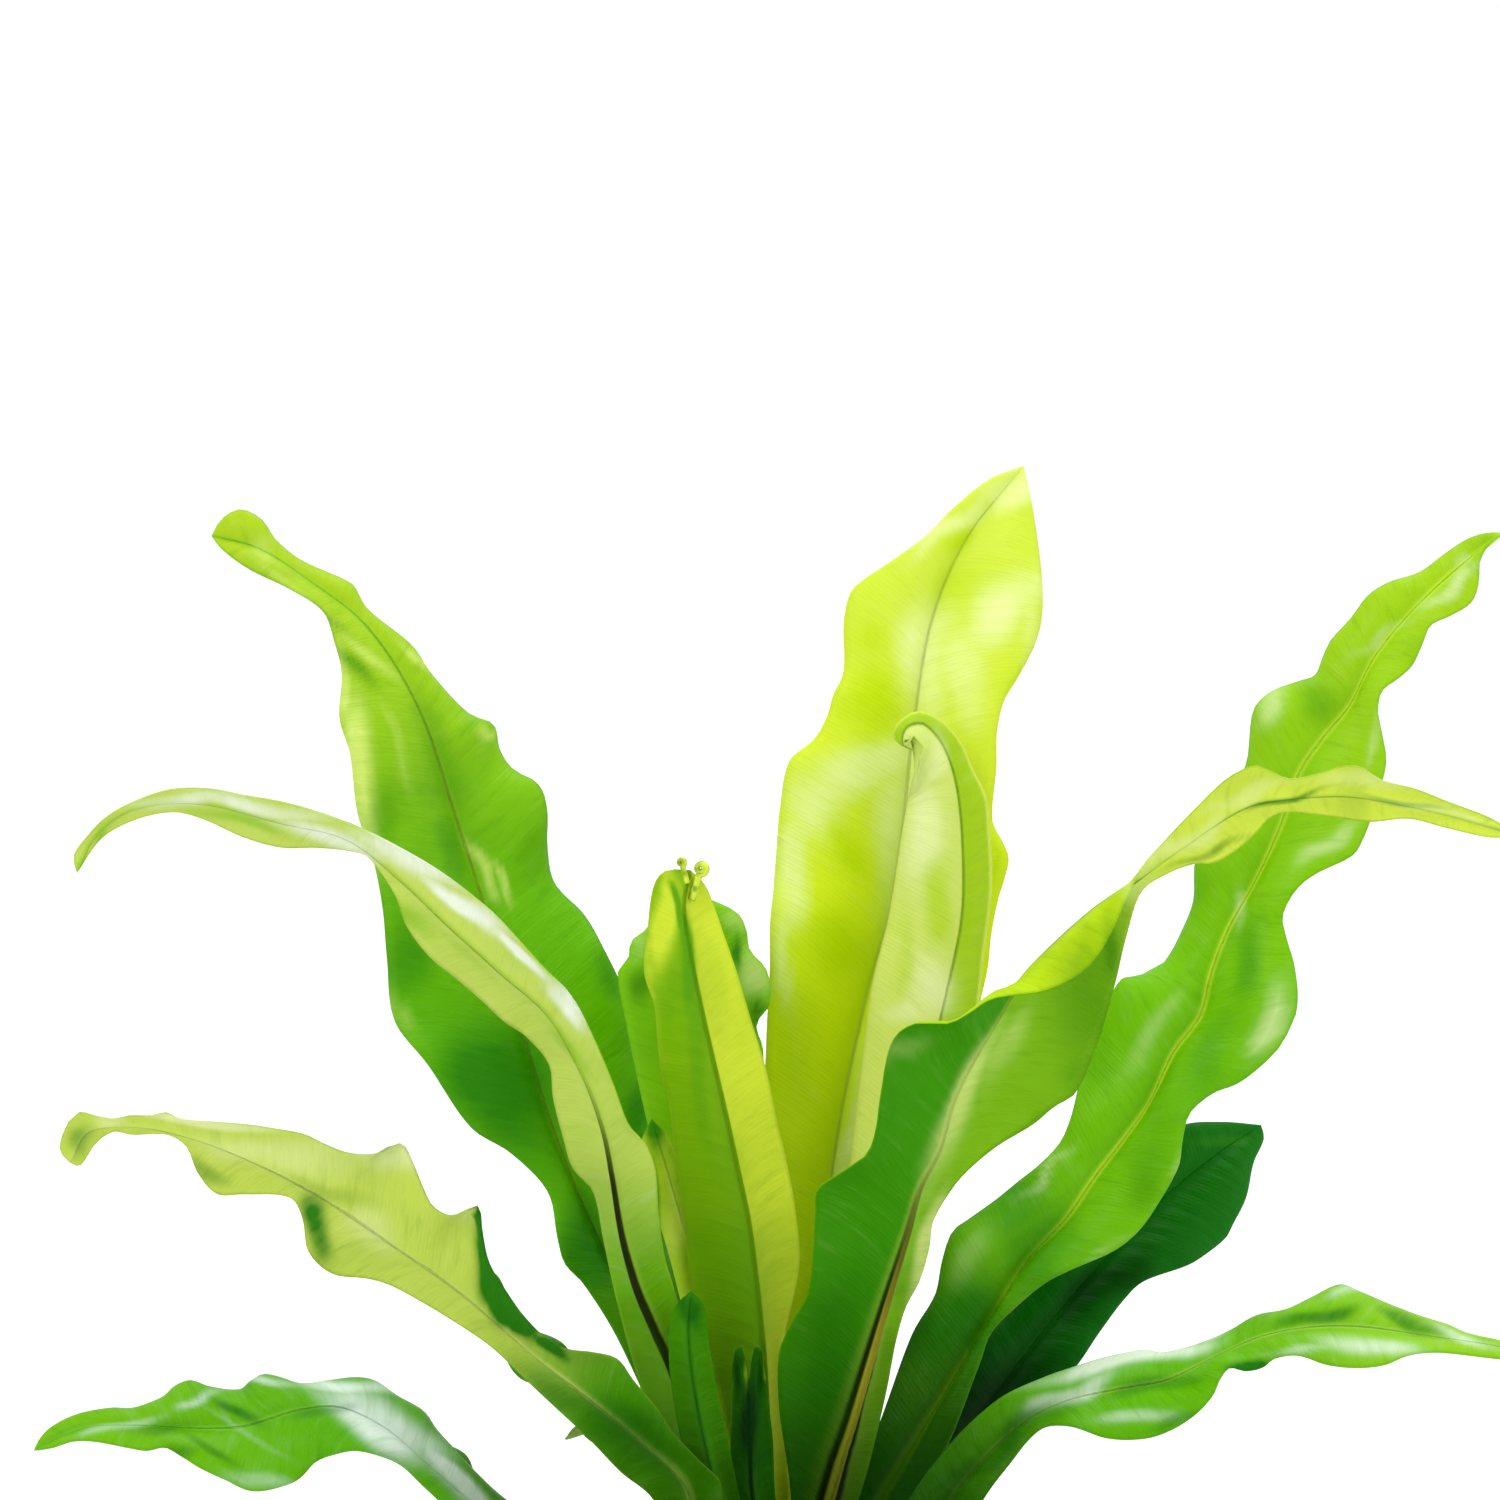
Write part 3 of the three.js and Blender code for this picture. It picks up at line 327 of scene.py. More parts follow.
def peat():
    bench = Bench("peat_and_bark")
    crumbs = bench.cells(700)
    cloud = bench.grain(60, detail=6, rough=0.7)
    fine = bench.grain(1500, detail=4, rough=0.8)
    moss = bench.fade(bench.grain(30, detail=6, rough=0.6, warp=0.4), 0.57, 0.66)
    green = bench.blend(bench.fade(fine, 0.4, 0.6), tint(44, 70, 14), tint(104, 130, 34))
    brown = bench.coats(
        tint(44, 29, 18),
        (bench.fade(cloud, 0.35, 0.65), tint(78, 52, 33)),
        (bench.fade(fine, 0.58, 0.72), tint(128, 94, 62)),
        (bench.fade(crumbs, 0.55, 0.2) * 0.5, tint(24, 15, 10)),
        (moss * 0.85, green),
    )
    bumps = bench.relief(fine, 0.0006, bench.relief(crumbs, 0.0012))
    return bench.done(bench.surface(brown, 0.85 + 0.1 * cloud, bumps, 0.25))


def chips(draw, count, long, wide, thick, sides=7):
    """Loose grains lying on the mix: squashed many-sided lumps, each turned and tipped at random."""
    points, faces = [], []
    for _ in range(count):
        radius = math.sqrt(draw.uniform((CROWN_RADIUS + 1) ** 2, (MIX_EDGE - 2.5) ** 2))
        where = draw.uniform(0, FULL_TURN)
        x, y = radius * math.cos(where), radius * math.sin(where)
        size = (draw.uniform(0.5, 1) * long, draw.uniform(0.5, 1) * wide, draw.uniform(0.6, 1) * thick)
        spin, tip, lean = draw.uniform(0, FULL_TURN), draw.gauss(0, 0.3), draw.gauss(0, 0.3)
        turn = np.array([
            [math.cos(spin) * math.cos(tip), -math.sin(spin), math.cos(spin) * math.sin(tip)],
            [math.sin(spin) * math.cos(tip), math.cos(spin), math.sin(spin) * math.sin(tip)],
            [-math.sin(tip), math.sin(lean), math.cos(tip) * math.cos(lean)],
        ])
        faces += tube(len(points), sides, 2)
        for level, share in ((-1, 0.62), (-0.2, 1.0), (0.75, 0.8)):
            for i in range(sides):
                around = FULL_TURN * (i + 0.3 * level) / sides
                reach = share * draw.uniform(0.78, 1.08)
                tall = level + draw.uniform(-0.15, 0.15)
                local = np.array((reach * math.cos(around), reach * math.sin(around), tall)) * size / 2
                points.append(turn @ local + (x, y, float(mix_height(x, y)) + size[2] * 0.22))
    return points, faces


def bark():
    bench = Bench("bark_chips")
    hue = bench.hue(190.0)
    fibre = bench.grain(1100, detail=5, rough=0.75, warp=1.4)
    brown = bench.blend(hue, tint(86, 52, 30), tint(146, 100, 62))
    brown = bench.blend(bench.fade(fibre, 0.45, 0.65) * 0.6, brown, tint(52, 32, 20))
    return bench.done(bench.surface(brown, 0.7 + 0.25 * fibre, bench.relief(fibre, 0.0006), 0.3))


def perlite():
    bench = Bench("perlite")
    dust = bench.grain(500, detail=3)
    white = bench.blend(bench.fade(dust, 0.4, 0.65), tint(226, 222, 208), tint(192, 184, 162))
    return bench.done(bench.surface(white, 0.75 + 0.2 * dust, bench.relief(bench.cells(1900), 0.0004)))


draw = random.Random(7)
soil = mesh_piece("peat_bed", *mix_body(), peat())
loose_bark = mesh_piece("loose_bark", *chips(draw, 420, 9, 5, 2.2), bark(), smooth=False)
loose_perlite = mesh_piece("loose_perlite", *chips(draw, 170, 3, 2.6, 2.2), perlite())
for piece in (soil, loose_bark, loose_perlite):
    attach(piece, "root")
    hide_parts("potting_mix")

# Crown
# The short upright stem that all fronds grow from, bedded in the mix. It is woody and hidden under
# overlapping brown papery scales and matted root hairs, which it grows itself.
CROWN_FOOT = 104
CROWN_SHOULDER = 112
CROWN_TOP = 133
CROWN_SIDES = 96
CROWN_STEPS = 24
SCALE_COUNT = 900
SCALE_WIDTHS = ((0, 0.7), (0.3, 1), (0.65, 0.62), (1, 0.04))
SCALE_KEEL = 0.28
SCALE_BACK = 0.2
HAIR_COUNT = 700
HAIR_STEPS = 4
HAIR_SIDES = 3
HAIR_THICK = 0.16


def crown_height(radius):
    share = max(0.0, 1 - (radius / CROWN_RADIUS) ** 2)
    return CROWN_SHOULDER + (CROWN_TOP - CROWN_SHOULDER) * math.sqrt(share)


def crown_body():
    profile = [(0, CROWN_FOOT), (CROWN_RADIUS - 3, CROWN_FOOT), (CROWN_RADIUS, CROWN_SHOULDER)]
    for i in range(1, CROWN_STEPS + 1):
        radius = CROWN_RADIUS * math.cos(i / CROWN_STEPS * math.pi / 2) if i < CROWN_STEPS else 0
        profile.append((radius, crown_height(radius) - 0.6))
    return turned(profile, CROWN_SIDES)


def scale_coat(draw):
    """Narrow pointed scales that lap upwards over the crown, each a thin curled leaf with a raised middle."""
    points, faces = [], []
    for _ in range(SCALE_COUNT):
        radius = CROWN_RADIUS * math.sqrt(draw.uniform(0.02, 1.0))
        where = draw.uniform(0, FULL_TURN)
        out = np.array((math.cos(where), math.sin(where), 0))
        across = np.array((-math.sin(where), math.cos(where), 0))
        foot = radius * out + (0, 0, crown_height(radius) - 0.8)
        rise = out * draw.uniform(0.1, 0.75) + np.array((0, 0, 1.0)) + across * draw.gauss(0, 0.25)
        rise /= np.linalg.norm(rise)
        face = np.cross(across, rise)
        long, wide = draw.uniform(4, 8.5), draw.uniform(0.8, 1.7)
        curl = draw.uniform(-0.6, 1.4)
        faces += tube(len(points), 4, len(SCALE_WIDTHS) - 1)
        for share, width in SCALE_WIDTHS:
            spine = foot + rise * long * share + face * curl * share * share
            half = across * width * wide / 2
            keel, back = face * SCALE_KEEL * width, face * SCALE_BACK * width
            points += [spine - half, spine - keel, spine + half, spine + back]
    return points, faces


def hair_mat(draw):
    """Wiry brown root hairs that run out from the crown's foot over the mix."""
    points, faces = [], []
    for _ in range(HAIR_COUNT):
        where = draw.uniform(0, FULL_TURN)
        radius = draw.uniform(CROWN_RADIUS - 5, CROWN_RADIUS + 1)
        heading = where + draw.gauss(0, 0.9)
        long = draw.uniform(3, 11)
        lift = draw.uniform(0.4, 2.4)
        faces += tube(len(points), HAIR_SIDES, HAIR_STEPS)
        x, y = radius * math.cos(where), radius * math.sin(where)
        for step in range(HAIR_STEPS + 1):
            share = step / HAIR_STEPS
            heading += draw.gauss(0, 0.28)
            out = math.hypot(x, y)
            ground = max(float(mix_height(x, y)), crown_height(out) if out < CROWN_RADIUS else 0)
            z = ground + 0.2 + lift * math.sin(math.pi * share)
            thick = HAIR_THICK * (1 - 0.6 * share)
            for i in range(HAIR_SIDES):
                turn = FULL_TURN * i / HAIR_SIDES
                beside = thick * math.cos(turn)
                points.append((x - beside * math.sin(heading), y + beside * math.cos(heading),
                               z + thick * math.sin(turn)))
            x += long / HAIR_STEPS * math.cos(heading)
            y += long / HAIR_STEPS * math.sin(heading)
    return points, faces


def scales():
    bench = Bench("crown_scales")
    hue = bench.hue(420.0)
    fibre = bench.grain(1600, detail=4, rough=0.7, warp=0.8)
    brown = bench.blend(hue, tint(58, 34, 18), tint(112, 72, 38))
    brown = bench.blend(bench.fade(fibre, 0.5, 0.7) * 0.5, brown, tint(36, 20, 12))
    return bench.done(bench.surface(brown, 0.55 + 0.3 * fibre, bench.relief(fibre, 0.0004)))


brown_scales = scales()
draw = random.Random(19)
stock = mesh_piece("crown_stock", *crown_body(), brown_scales)
lapped = mesh_piece("crown_scale_coat", *scale_coat(draw), brown_scales)
hairs = mesh_piece("crown_root_hairs", *hair_mat(draw), brown_scales)
for piece in (stock, lapped, hairs):
    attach(piece, "root")
    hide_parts("crown")

# Young fronds in the middle
# The newest leaves stand nearly upright, each an undivided strap on a short stalk in its own gap among the
# scales: a thin soft blade, yellow-green until it hardens, with a stout rib, fine side veins and a waved
# margin. They unroll from the tip.
OUTER_RING = (23.5, 15)
MIDDLE_RING = (14.5, 8)
INNER_RING = (5, 4)
STALK_HALF = 2.8
STALK_THICK = 2.2
STALK_DEEP = 7
STALK_NECK = 6
STALK_END = 0.16
BLADE_THICK = 0.7
MARGIN_THICK = 0.35
MARGIN_WIDE = 1.6
LEAST_HALF = 0.35
RIB_HEIGHT = 1.5
RIB_WIDE = 1.25
CHANNEL = 0.14
VEIN_SLANT = 0.45
VEIN_GAP = 1.35
# Sets of quilting waves: height, distance apart, sway, and the length and start of the sway.
QUILTS = ((0.16, 6.3, 1.2, 17, 0), (0.10, 3.1, 0.9, 11, 2))
# Waves of the margin: height, how fast they fade towards the rib, pace and lag.
FRILLS = ((1, 1.6, 1, 0), (0.22, 3, 2.7, 1.1))
HALF_COLUMNS = 18
ROW_EASE = 0.18
RIB_MARKS = 240
LEAST_STEP = 0.004
LEAF_GLEAM = 0.1
EYE = np.array((-9, -1369.4, 709.1))


def place(line):
    """Points read on the upright plane through the pot's axis, moved to their depth along the eye's line."""
    line = np.asarray(line, float)
    k = line[..., 2:] / -EYE[1]
    flat = line[..., :2] + (line[..., :2] - EYE[[0, 2]]) * k
    return np.stack([flat[..., 0], line[..., 2], flat[..., 1]], -1)


def seen(point):
    """Where a point shows on that plane, and its depth. It takes many points as well."""
    x, y, z = np.moveaxis(np.asarray(point, float), -1, 0)
    k = y / -EYE[1]
    return np.stack(((x + EYE[0] * k) / (1 + k), (z + EYE[2] * k) / (1 + k), y), -1)


def through(keys, points):
    """Smooth line through points at rising keys."""
    keys, points = np.asarray(keys, float), np.asarray(points, float)
    last = len(keys) - 1
    before = np.maximum(0, np.arange(last + 1) - 1)
    after = np.minimum(last, np.arange(last + 1) + 1)
    slopes = (points[after] - points[before]) / (keys[after] - keys[before])[:, None]

    def at(s):
        s = np.atleast_1d(np.asarray(s, float))
        i = np.searchsorted(keys[1:last], s, side="left")
        span = (keys[i + 1] - keys[i])[:, None]
        k = (s - keys[i])[:, None] / span
        held = points[i] + (points[i + 1] - points[i]) * (k * k * (3 - 2 * k))
        return held + slopes[i] * span * k * (1 - k) ** 2 - slopes[i + 1] * span * k * k * (1 - k)

    return at


def run_along(points):
    """Length from the foot to each point of a line."""
    return np.concatenate([[0], np.cumsum(np.linalg.norm(np.diff(points, axis=0), axis=1))])


def by_length(points):
    run = run_along(points)
    return run / run[-1]


def stalk(root):
    """Foot of a frond: the way across its stalk, and three points from the bottom of its gap to its neck."""
    (radius, lean), azimuth = root
    turn, tilt = math.radians(azimuth), math.radians(lean)
    out = np.array((math.cos(turn), math.sin(turn), 0))
    rise = out * math.sin(tilt) + np.array((0, 0, math.cos(tilt)))
    surface = radius * out + np.array((0, 0, crown_height(radius)))
    side = np.array((out[1], -out[0], 0))
    return side, np.array([surface + rise * k for k in (-STALK_DEEP, 0, STALK_NECK)])


def edge_line(rib, keys, ends, readings):
    """A margin beside the rib. Each reading is keyed to the nearest rib point, and a depth that it leaves out
    comes from its neighbours."""
    marks = rib(np.arange(RIB_MARKS + 1) / RIB_MARKS)
    found = list(keys[: len(ends)])
    for n, reading in enumerate(readings):
        best = np.argmin(np.hypot(marks[:, 0] - reading[0], marks[:, 1] - reading[1])) / RIB_MARKS
        found.append(max(found[-1] + LEAST_STEP, min(best, 1 - LEAST_STEP * (len(readings) - n))))
    found[-1] = 1
    points = [list(p) for p in ends] + [list(p) for p in readings]
    known = [i for i, p in enumerate(points[:-1]) if len(p) == 3]
    depths = np.interp(found, [found[i] for i in known] + [1], [points[i][2] for i in known] + [0])
    return through(found, [(p[0], p[1], d) for p, d in zip(points, depths)])


def read_rails(root, rib, a, b, under):
    """Rib and both margins of a frond read from the front."""
    side, foot = stalk(root)
    line = np.concatenate([seen(foot), rib])
    keys = by_length(place(line))
    spine = through(keys, line)

    def ends(sign):
        return seen(foot + side * sign * STALK_HALF) - foot[:, 1:2] * (0, 0, 1)

    left = edge_line(spine, keys, ends(-1), b if under else a)
    right = edge_line(spine, keys, ends(1), a if under else b)
    return spine, left, right


def spread():
    """Columns across a blade, close together beside the rib and open towards the margins."""
    share = np.arange(1, HALF_COLUMNS + 1) / HALF_COLUMNS
    half = 0.35 * share + 0.65 * share**2
    return np.concatenate([-half[::-1], [0], half])


def rows_along(count):
    k = np.arange(count) / (count - 1)
    return k * (1 + ROW_EASE - ROW_EASE * k)


def read_sheet(root, rib, a, b, under=False, ripple=2.5, waves=7, notch=0.0, rows=170):
    """Blade of a frond read from the front. The points of its rib and of margins a and b are given across, up
    and in depth, a margin's depth counted from the rib. A notch parts the tip over the rib."""
    s, t = rows_along(rows), spread()
    spine, left, right = read_rails(root, rib, a, b, under)
    share = s[:, None] * (1 - notch * np.maximum(0, 1 - 2 * np.abs(t)))[None, :]
    middle, lefts, rights = (line(share.ravel()).reshape(*share.shape, 3) for line in (spine, left, right))
    reach = np.abs(t)[None, :]
    edge = np.where((t < 0)[None, :, None], lefts, rights)
    beat = FULL_TURN * waves * share + np.where(t < 0, 2.0, 0.0)[None, :]
    swell = np.sin(math.pi * np.minimum(1, 1.15 * share))
    wave = sum(high * ripple * reach**power * swell * np.sin(pace * beat + lag)
               for high, power, pace, lag in FRILLS)
    flat = middle[..., :2] + (edge[..., :2] - middle[..., :2]) * reach[..., None]
    depth = middle[..., 2] + edge[..., 2] * reach + wave
    return s, t, place(np.concatenate([flat, depth[..., None]], -1))


def unit(v):
    return v / np.maximum(np.linalg.norm(v, axis=-1, keepdims=True), 1e-9)


def bell(distance, wide):
    return np.exp(-((distance / wide) ** 2))


def blade_walls(rows, count):
    """Faces over the top, the underside and all four edges of a blade."""
    top = np.arange(rows * count).reshape(rows, count)
    low = top + rows * count
    walls = (
        (top[:-1, :-1], top[:-1, 1:], top[1:, 1:], top[1:, :-1]),
        (low[:-1, :-1], low[1:, :-1], low[1:, 1:], low[:-1, 1:]),
        (top[:-1, 0], top[1:, 0], low[1:, 0], low[:-1, 0]),
        (top[:-1, -1], low[:-1, -1], low[1:, -1], top[1:, -1]),
        (top[0, :-1], low[0, :-1], low[0, 1:], top[0, 1:]),
        (top[-1, :-1], top[-1, 1:], low[-1, 1:], low[-1, :-1]),
    )
    return np.concatenate([np.stack(corners, -1).reshape(-1, 4) for corners in walls]).tolist()


def blade(s, t, sheet):
    """Upper and lower faces of a blade with its channelled section, rib, side veins and thin margin."""
    rows, count = sheet.shape[:2]
    centre = count // 2
    rib = sheet[:, centre : centre + 1]
    half = np.linalg.norm(np.where((t < 0)[None, :, None], sheet[:, :1], sheet[:, -1:]) - rib, axis=-1)
    least = np.maximum(1, LEAST_HALF / np.maximum(half, 1e-6))
    sheet = rib + (sheet - rib) * least[..., None]
    half = half * least
    normal = unit(np.cross(np.gradient(sheet, axis=1), np.gradient(sheet, axis=0)))
    for _ in range(2):
        normal[:, centre] = normal[:, centre - 1] + normal[:, centre + 1]
        normal[1:-1] = unit(normal[:-2] + 2 * normal[1:-1] + normal[2:])
    run = run_along(sheet[:, centre])[:, None]
    reach = np.abs(t)[None, :]
    from_rib, from_edge = reach * half, (1 - reach) * half
    young = np.clip(1 - s / STALK_END, 0, 1)[:, None]
    vein = run - VEIN_SLANT * from_rib + np.where(t < 0, 0.7, 0)[None, :]
    open_blade = (1 - young) * np.clip(half / 8, 0, 1)
    arch = CHANNEL * half * 4 * reach * (1 - reach)
    quilt = sum(high * np.sin(FULL_TURN * vein / gap + sway * np.sin(run / length + start))
                * np.sin(math.pi * reach**0.7) ** 2 for high, gap, sway, length, start in QUILTS)
    middle = sheet + normal * (arch + quilt * open_blade)[..., None]
    thick = BLADE_THICK + (MARGIN_THICK - BLADE_THICK) * np.clip(1 - from_edge / MARGIN_WIDE, 0, 1) ** 2
    thick = thick + (STALK_THICK * np.sqrt(np.clip(1 - 0.9 * reach**2, 0, 1)) - thick) * young
    ridge = 0.4 * bell(from_rib, 0.7) - 0.35 * bell(from_rib, 2.4)
    keel = RIB_HEIGHT * (1 - 0.75 * s[:, None]) * bell(from_rib, RIB_WIDE) * np.clip(half / 3, 0.15, 1)
    upper = middle + normal * (thick / 2 + ridge * open_blade)[..., None]
    lower = middle - normal * (thick / 2 + keel)[..., None]
    ones = np.ones((rows, count))
    marks = {"along": s[:, None] * ones, "from_rib": from_rib, "from_edge": from_edge, "vein": vein,
             "side": np.sign(t)[None, :] * ones}
    marks = {key: np.tile(m.ravel(), 2) for key, m in marks.items()}
    marks["under"] = np.repeat([0.0, 1.0], rows * count)
    return np.concatenate([upper.reshape(-1, 3), lower.reshape(-1, 3)]), blade_walls(rows, count), marks


def patch(points, patches):
    """How strongly each point lies in soft oval patches read on the plane. A patch is given as across, up,
    half width, half height, turn in degrees and strength."""
    across, up, _ = seen(points).T
    total = np.zeros(len(points))
    for x, z, wide, tall, turn, strength in patches:
        c, n = math.cos(math.radians(turn)), math.sin(math.radians(turn))
        dx = across - x + 0.2 * wide * np.sin(3.4 * (across + up) / (wide + tall) + x)
        dz = up - z + 0.2 * tall * np.sin(2.9 * (across - up) / (wide + tall) + z)
        distance = ((dx * c + dz * n) / wide) ** 2 + ((dz * c - dx * n) / tall) ** 2
        total = np.maximum(total, strength * np.exp(-(distance**1.5)))
    return total


def frond_skin(name, face, underside, ridge, light, dark, shine, gloss=0.36, glow=0.2, turn=(0.05, 0.5),
               half=None, rib_turn=(0.12, 0.5), rib_wide=(0.95, 0.6), core=None, hem=None, heart_shade=0.9):
    """Skin of a frond. Face, underside and ridge are its colours from foot to tip; where the foot is darker,
    that is partly painted shade low in the plant. Light and dark are the colours of its streaks and of its
    patches, which are painted highlights and painted shade, in places the blade's own paler and darker tone.
    Shine is the light that comes through the blade, and glow how much of it; shine is also painted as a thin
    glow along the margin. Half gives one half of the blade, by its side, colours of its own, painted light
    and shade on the two halves of a folded blade, and hem is a lighter rim along that half. Core is the
    colour inside the rib low down, and heart how far painted shade darkens the skin near the crown."""
    bench = Bench(name)
    (foot, body, tip), (under_foot, under_tip), (rib_foot, rib_tip), (light, dark, shine) = (
        [tint(*colour) for colour in group] for group in (face, underside, ridge, (light, dark, shine))
    )
    along, from_rib, from_edge, vein, under, side, pale, deep = (
        bench.node("Attribute", {"attribute_name": key})["Fac"]
        for key in ("along", "from_rib", "from_edge", "vein", "under", "side", "pale", "deep")
    )
    where = bench.place()
    # Face colours from foot to body to tip; the darker foot colours are partly painted shade low in the
    # plant.
    upper = bench.coats(foot, (bench.fade(along, 0.05, 0.45), body), (bench.fade(along, 0.55, 0.98), tip))
    lower = bench.blend(bench.fade(along, *turn), under_foot, under_tip)
    # One half of the blade in colours of its own: painted light and shade on the two halves of a folded
    # blade, which face the light differently.
    if half:
        here = bench.fade(side * half[0], 0, 0.5)
        own = bench.blend(bench.fade(along, *turn), tint(*half[1]), tint(*half[2]))
        upper, lower = bench.blend(here, upper, own), bench.blend(here, lower, own)
    cloud = bench.grain(22, where, 3, 0.5, 0.6)
    drift = vein + 2.2 * cloud
    lanes = bench.node("CombineXYZ", None, {0: drift * 0.16, 1: from_rib * 0.03, 2: along * 3 + side * 7})
    streak = bench.grain(2.2, lanes["Vector"], 3, 0.55)
    fine_lanes = bench.node("CombineXYZ", None, {0: drift * 0.6, 1: from_rib * 0.05, 2: side * 5})
    thread = bench.grain(1.6, fine_lanes["Vector"], 2, 0.5)
    layers = [
        (bench.fade(cloud, 0.5, 0.68) * 0.22, dark),
        (bench.fade(streak, 0.54, 0.74) * 0.05, light),
        (bench.fade(streak, 0.46, 0.28) * 0.17, dark),
        (bench.fade(thread, 0.48, 0.3) * 0.07, dark),
    ]
    if hem:
        layers.append((bench.fade(from_edge, 2.6, 0.9) * here, tint(*hem)))
    rib = bench.blend(bench.fade(along, *rib_turn), rib_foot, rib_tip)
    near = from_rib / bench.fade(along, 0.1, 0.5, *rib_wide)
    layers += [(bench.fade(near, 2.4, 1) * 0.4, rib_tip), (bench.fade(near, 1.25, 0.75), rib)]
    if core:
        layers.append((bench.fade(near, 0.55, 0.3) * bench.fade(along, 0.45, 0.2), tint(*core)))
    layers += [
        # A thin rim in the colour of light through the blade: a painted glow along the margin.
        (bench.fade(from_edge, 0.75, 0.15) * 0.35, shine),
        # Pale patches: painted highlights and sheen, in places the blade's own paler tone.
        ((pale * (0.6 + 0.8 * streak)).maths("MINIMUM", 1), light),
        # Deep patches: painted shade, in places the blade's own darker tone.
        ((deep * (0.65 + 0.7 * streak)).maths("MINIMUM", 1), dark),
    ]
    both = bench.coats(bench.blend(under, upper, lower), *layers)
    # Painted shade: low near the crown, in the middle of the plant where the fronds shade one another, the
    # skin is darkened, by a share given for each frond.
    x, y, height = bench.split(where)
    shaded = bench.fade(height, 0.27, 0.175) * bench.fade((x * x + y * y).maths("SQRT"), 0.13, 0.055)
    both = bench.blend(shaded * heart_shade, both, bench.blend(1, both, tint(74, 112, 40), "MULTIPLY"))
    tooth = (drift * (FULL_TURN / VEIN_GAP)).maths("SINE")
    bumps = bench.relief(tooth * bench.fade(from_rib, 0.8, 3) * thread, 0.00003)
    bumps = bench.relief(bench.grain(2600, where, 2, 0.5), 0.00002, bench.relief(streak, 0.0004, bumps))
    leaf = bench.surface(both, gloss + 0.16 * cloud + 0.16 * under, bumps, LEAF_GLEAM)
    through_blade = bench.node("BsdfTranslucent", None, {"Color": shine})["BSDF"]
    return bench.done(bench.node("MixShader", None, {0: glow, 1: leaf, 2: through_blade})["Shader"])


def frond(name, skin, sheet, pale=(), deep=()):
    """Grows one frond and sets it on the plant in place of its solid."""
    points, faces, marks = blade(*sheet)
    made = mesh_piece(name.replace("frond", "leaf"), points, faces, skin)
    # The pale patches are painted highlights and sheen and the deep ones painted shade, each in places the
    # blade's own tone.
    marks["pale"], marks["deep"] = patch(points, pale), patch(points, deep)
    for key, values in marks.items():
        kept = made.data.attributes.new(key, "FLOAT", "POINT")
        kept.data.foreach_set("value", values.astype(np.float32))
    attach(made, "root")
    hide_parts(name)


frond("frond_tall", frond_skin(
    "tall_skin", face=((222, 240, 0), (220, 240, 20), (214, 232, 80)),
    underside=((176, 208, 20), (205, 222, 110)), ridge=((216, 232, 70), (206, 228, 70)),
    light=(240, 248, 176), dark=(196, 224, 0), shine=(224, 238, 40), glow=0.34, rib_wide=(0.9, 0.5),
    heart_shade=0.15,
), read_sheet(
    (MIDDLE_RING, 72), waves=6,
    rib=[
        [6, 200, 21], [12, 250, 28], [18, 300, 38], [27, 345, 48], [33, 367, 53], [37, 394, 60],
        [40, 425, 68], [45, 457, 78], [55, 482, 86], [72, 504, 96],
    ],
    a=[
        [0, 200, -3], [-4, 240, -4], [-5, 290, -5], [-4, 330, -6], [-3, 350], [-3, 363], [-2, 374],
        [-1, 388], [0, 400], [3, 415], [10, 421], [14, 428], [16, 435], [19, 442], [19, 457, -7], [21, 466],
        [25, 470], [31, 474], [42, 482], [51, 491], [62, 500, -3], [72, 504],
    ],
    b=[
        [13, 200, -3], [28, 250, -3], [44, 295, -4], [58, 330, -5], [63, 350], [64, 361], [66, 372],
        [68, 379], [69, 385], [67, 390], [64, 396], [65, 413], [65, 423], [67, 433], [71, 440], [76, 450],
        [78, 458], [78, 470, -8], [76, 485], [74, 496, -3], [72, 504],
    ],
), pale=[
    (69, 497, 7.7, 4.7, 30, 0.9), (50, 485, 14.9, 2.7, 38, 0.7), (43, 446, 7.8, 17.9, -4, 0.9),
    (66, 461, 14.9, 7.7, 40, 1), (54, 442, 6, 14.9, 20, 0.6), (75, 452, 2.4, 17.9, -5, 0.5),
    (27, 412, 21, 8.4, 20, 0.9), (11, 401, 7.2, 12, 10, 0.8), (38, 390, 8.4, 24.1, -4, 0.9),
    (33, 347, 3.6, 33.3, -6, 1), (22, 299, 3.1, 21.4, -10, 0.8), (1, 353, 2.4, 21.2, 6, 0.7),
    (4, 381, 4.8, 15.1, 0, 0.8), (44, 415, 6, 9, 0, 0.6),
], deep=[
    (27, 433, 8.4, 10.2, 0, 0.9), (21, 387, 4.8, 10.2, 25, 0.9), (15, 359, 10.3, 9.1, -20, 0.9),
    (54, 467, 11.9, 6, 30, 0.5), (72, 433, 3.6, 15, -10, 0.6), (66, 384, 2.4, 6.6, 0, 0.8),
    (6, 328, 6.1, 18.2, 0, 0.6), (27, 452, 4.2, 6, 0, 0.6), (53, 482, 4.8, 2.4, 36, 0.7),
])
